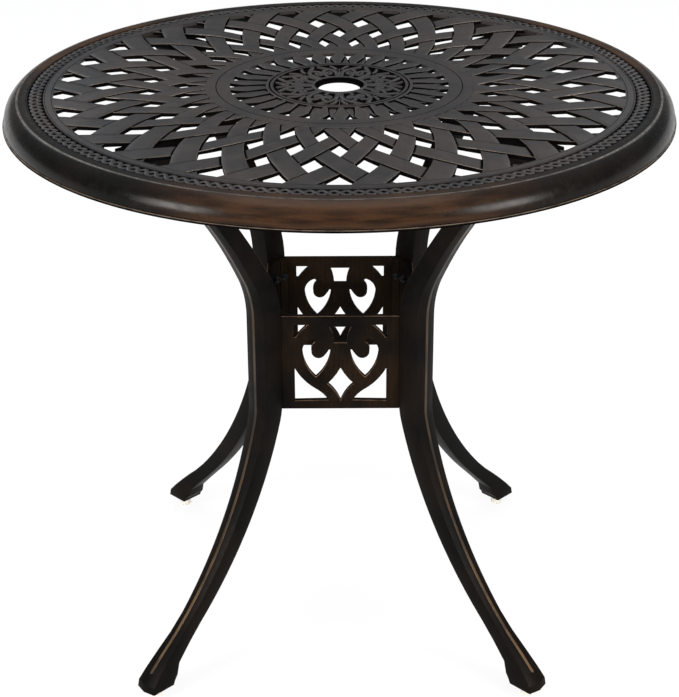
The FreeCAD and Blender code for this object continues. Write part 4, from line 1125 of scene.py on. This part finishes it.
# %% Build a panel
def panel_plate(bm):
    """The openwork plate, face towards -Y."""
    outlines = [[(-PANEL_HALF, PANEL_BOTTOM, 0.0), (PANEL_HALF, PANEL_BOTTOM, 0.0),
                 (PANEL_HALF, PANEL_TOP, 0.0), (-PANEL_HALF, PANEL_TOP, 0.0)],
                placed(STAR, 1), placed(TRAPEZOID, 1)]
    for outline in (CRESCENT, LOWER_CORNER, UPPER_CORNER):
        outlines += [placed(outline, 1), placed(outline, -1)]
    place = (Matrix.Translation((0, -(PANEL_FACE + PANEL_BACK) / 2 * MM, 0))
             @ Matrix.Rotation(math.radians(90), 4, "X"))
    openwork(bm, outlines, PANEL_FACE - PANEL_BACK, EDGE_SOFT, place)


def panel_ear(bm, side):
    """A mitred slab beside the plate."""
    verts = [bm.verts.new(Vector((side * x, y, PANEL_BOTTOM)) * MM) for x, y in EAR_PLAN]
    face = bm.faces.new(verts)
    fresh = verts_of(bmesh.ops.extrude_face_region(bm, geom=[face])["geom"])
    bmesh.ops.translate(bm, vec=(0, 0, (PANEL_TOP - PANEL_BOTTOM) * MM), verts=fresh)
    soften(bm, edges_at(verts + fresh), EAR_SOFT)


def highlight_upper_edges(bm):
    """Give the front bevels that face upwards the rubbed bronze, as a painted highlight from
    above.
    """
    for face in bm.faces:
        bevelled = 0.2 < abs(face.normal.y) < 0.95
        in_front = face.calc_center_median().y < -(PANEL_FACE - EDGE_SOFT) * MM
        if bevelled and in_front and face.normal.z > 0.2:
            face.material_index = 1


for side_name, turn in PANELS.items():
    bm = bmesh.new()
    panel_plate(bm)
    highlight_upper_edges(bm)
    for side in (1, -1):
        panel_ear(bm, side)
    turn_about_axis(bm, bm.verts, turn)
    make_piece(bm, f"scrolled_panel_{side_name}", [coat_panel, edge_panel],
               [f"panel_{side_name}"])

# %% [markdown]
# ## Glides and fasteners
# These keep their CAD shapes, which are what a lathe and a screw maker give. The glides are
# moulded nylon in its natural milky white, a little see-through and dull. The studs, bolts,
# screws and washers are steel with a thin black-passivated zinc plating, a dark cloudy metal
# that hides between the castings.

# %% Moulded nylon
SCUFF_SIZE, SCUFF_DEPTH = 0.003, 0.0001

nylon, tree = blank_material("moulded_natural_nylon")
place = add(tree, "TexCoord").outputs["Object"]
scuffs = noise(tree, place, SCUFF_SIZE, 4.0)
nylon_colour = mixed(tree, remapped(tree, scuffs, 0.35, 0.75), linear("#efebe3"),
                     linear("#dcd6ca"))
nylon_gloss = remapped(tree, scuffs, 0.3, 0.7, 0.42, 0.6)
nylon_bump = add(tree, "Bump", {"Height": scuffs, "Strength": 0.2, "Distance": SCUFF_DEPTH})
principled(tree, {"Base Color": nylon_colour, "Roughness": nylon_gloss,
                  "Normal": nylon_bump.outputs[0], "IOR": 1.53, "Subsurface Weight": 0.15,
                  "Subsurface Scale": 0.002})
print("glides:", nylon.name)

# %% Black zinc plating
SPANGLE_SIZE = 0.0015

zinc, tree = blank_material("black_zinc_plated_steel")
place = add(tree, "TexCoord").outputs["Object"]
spangle = noise(tree, place, SPANGLE_SIZE, 3.0)
zinc_colour = mixed(tree, remapped(tree, spangle, 0.35, 0.7), linear("#4b4c4f"),
                    linear("#2e2f31"))
zinc_gloss = remapped(tree, spangle, 0.3, 0.7, 0.28, 0.46)
principled(tree, {"Base Color": zinc_colour, "Roughness": zinc_gloss, "Metallic": 1.0})

for name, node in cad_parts.items():
    finish = None
    if name.startswith("glide_pad"):
        finish = nylon
    elif name.startswith("glide_stem") or name.endswith(("bolts", "washers", "screws")):
        finish = zinc
    if finish is not None:
        for slot in node.material_slots:
            slot.material = finish
        print(name, "gets", finish.name)
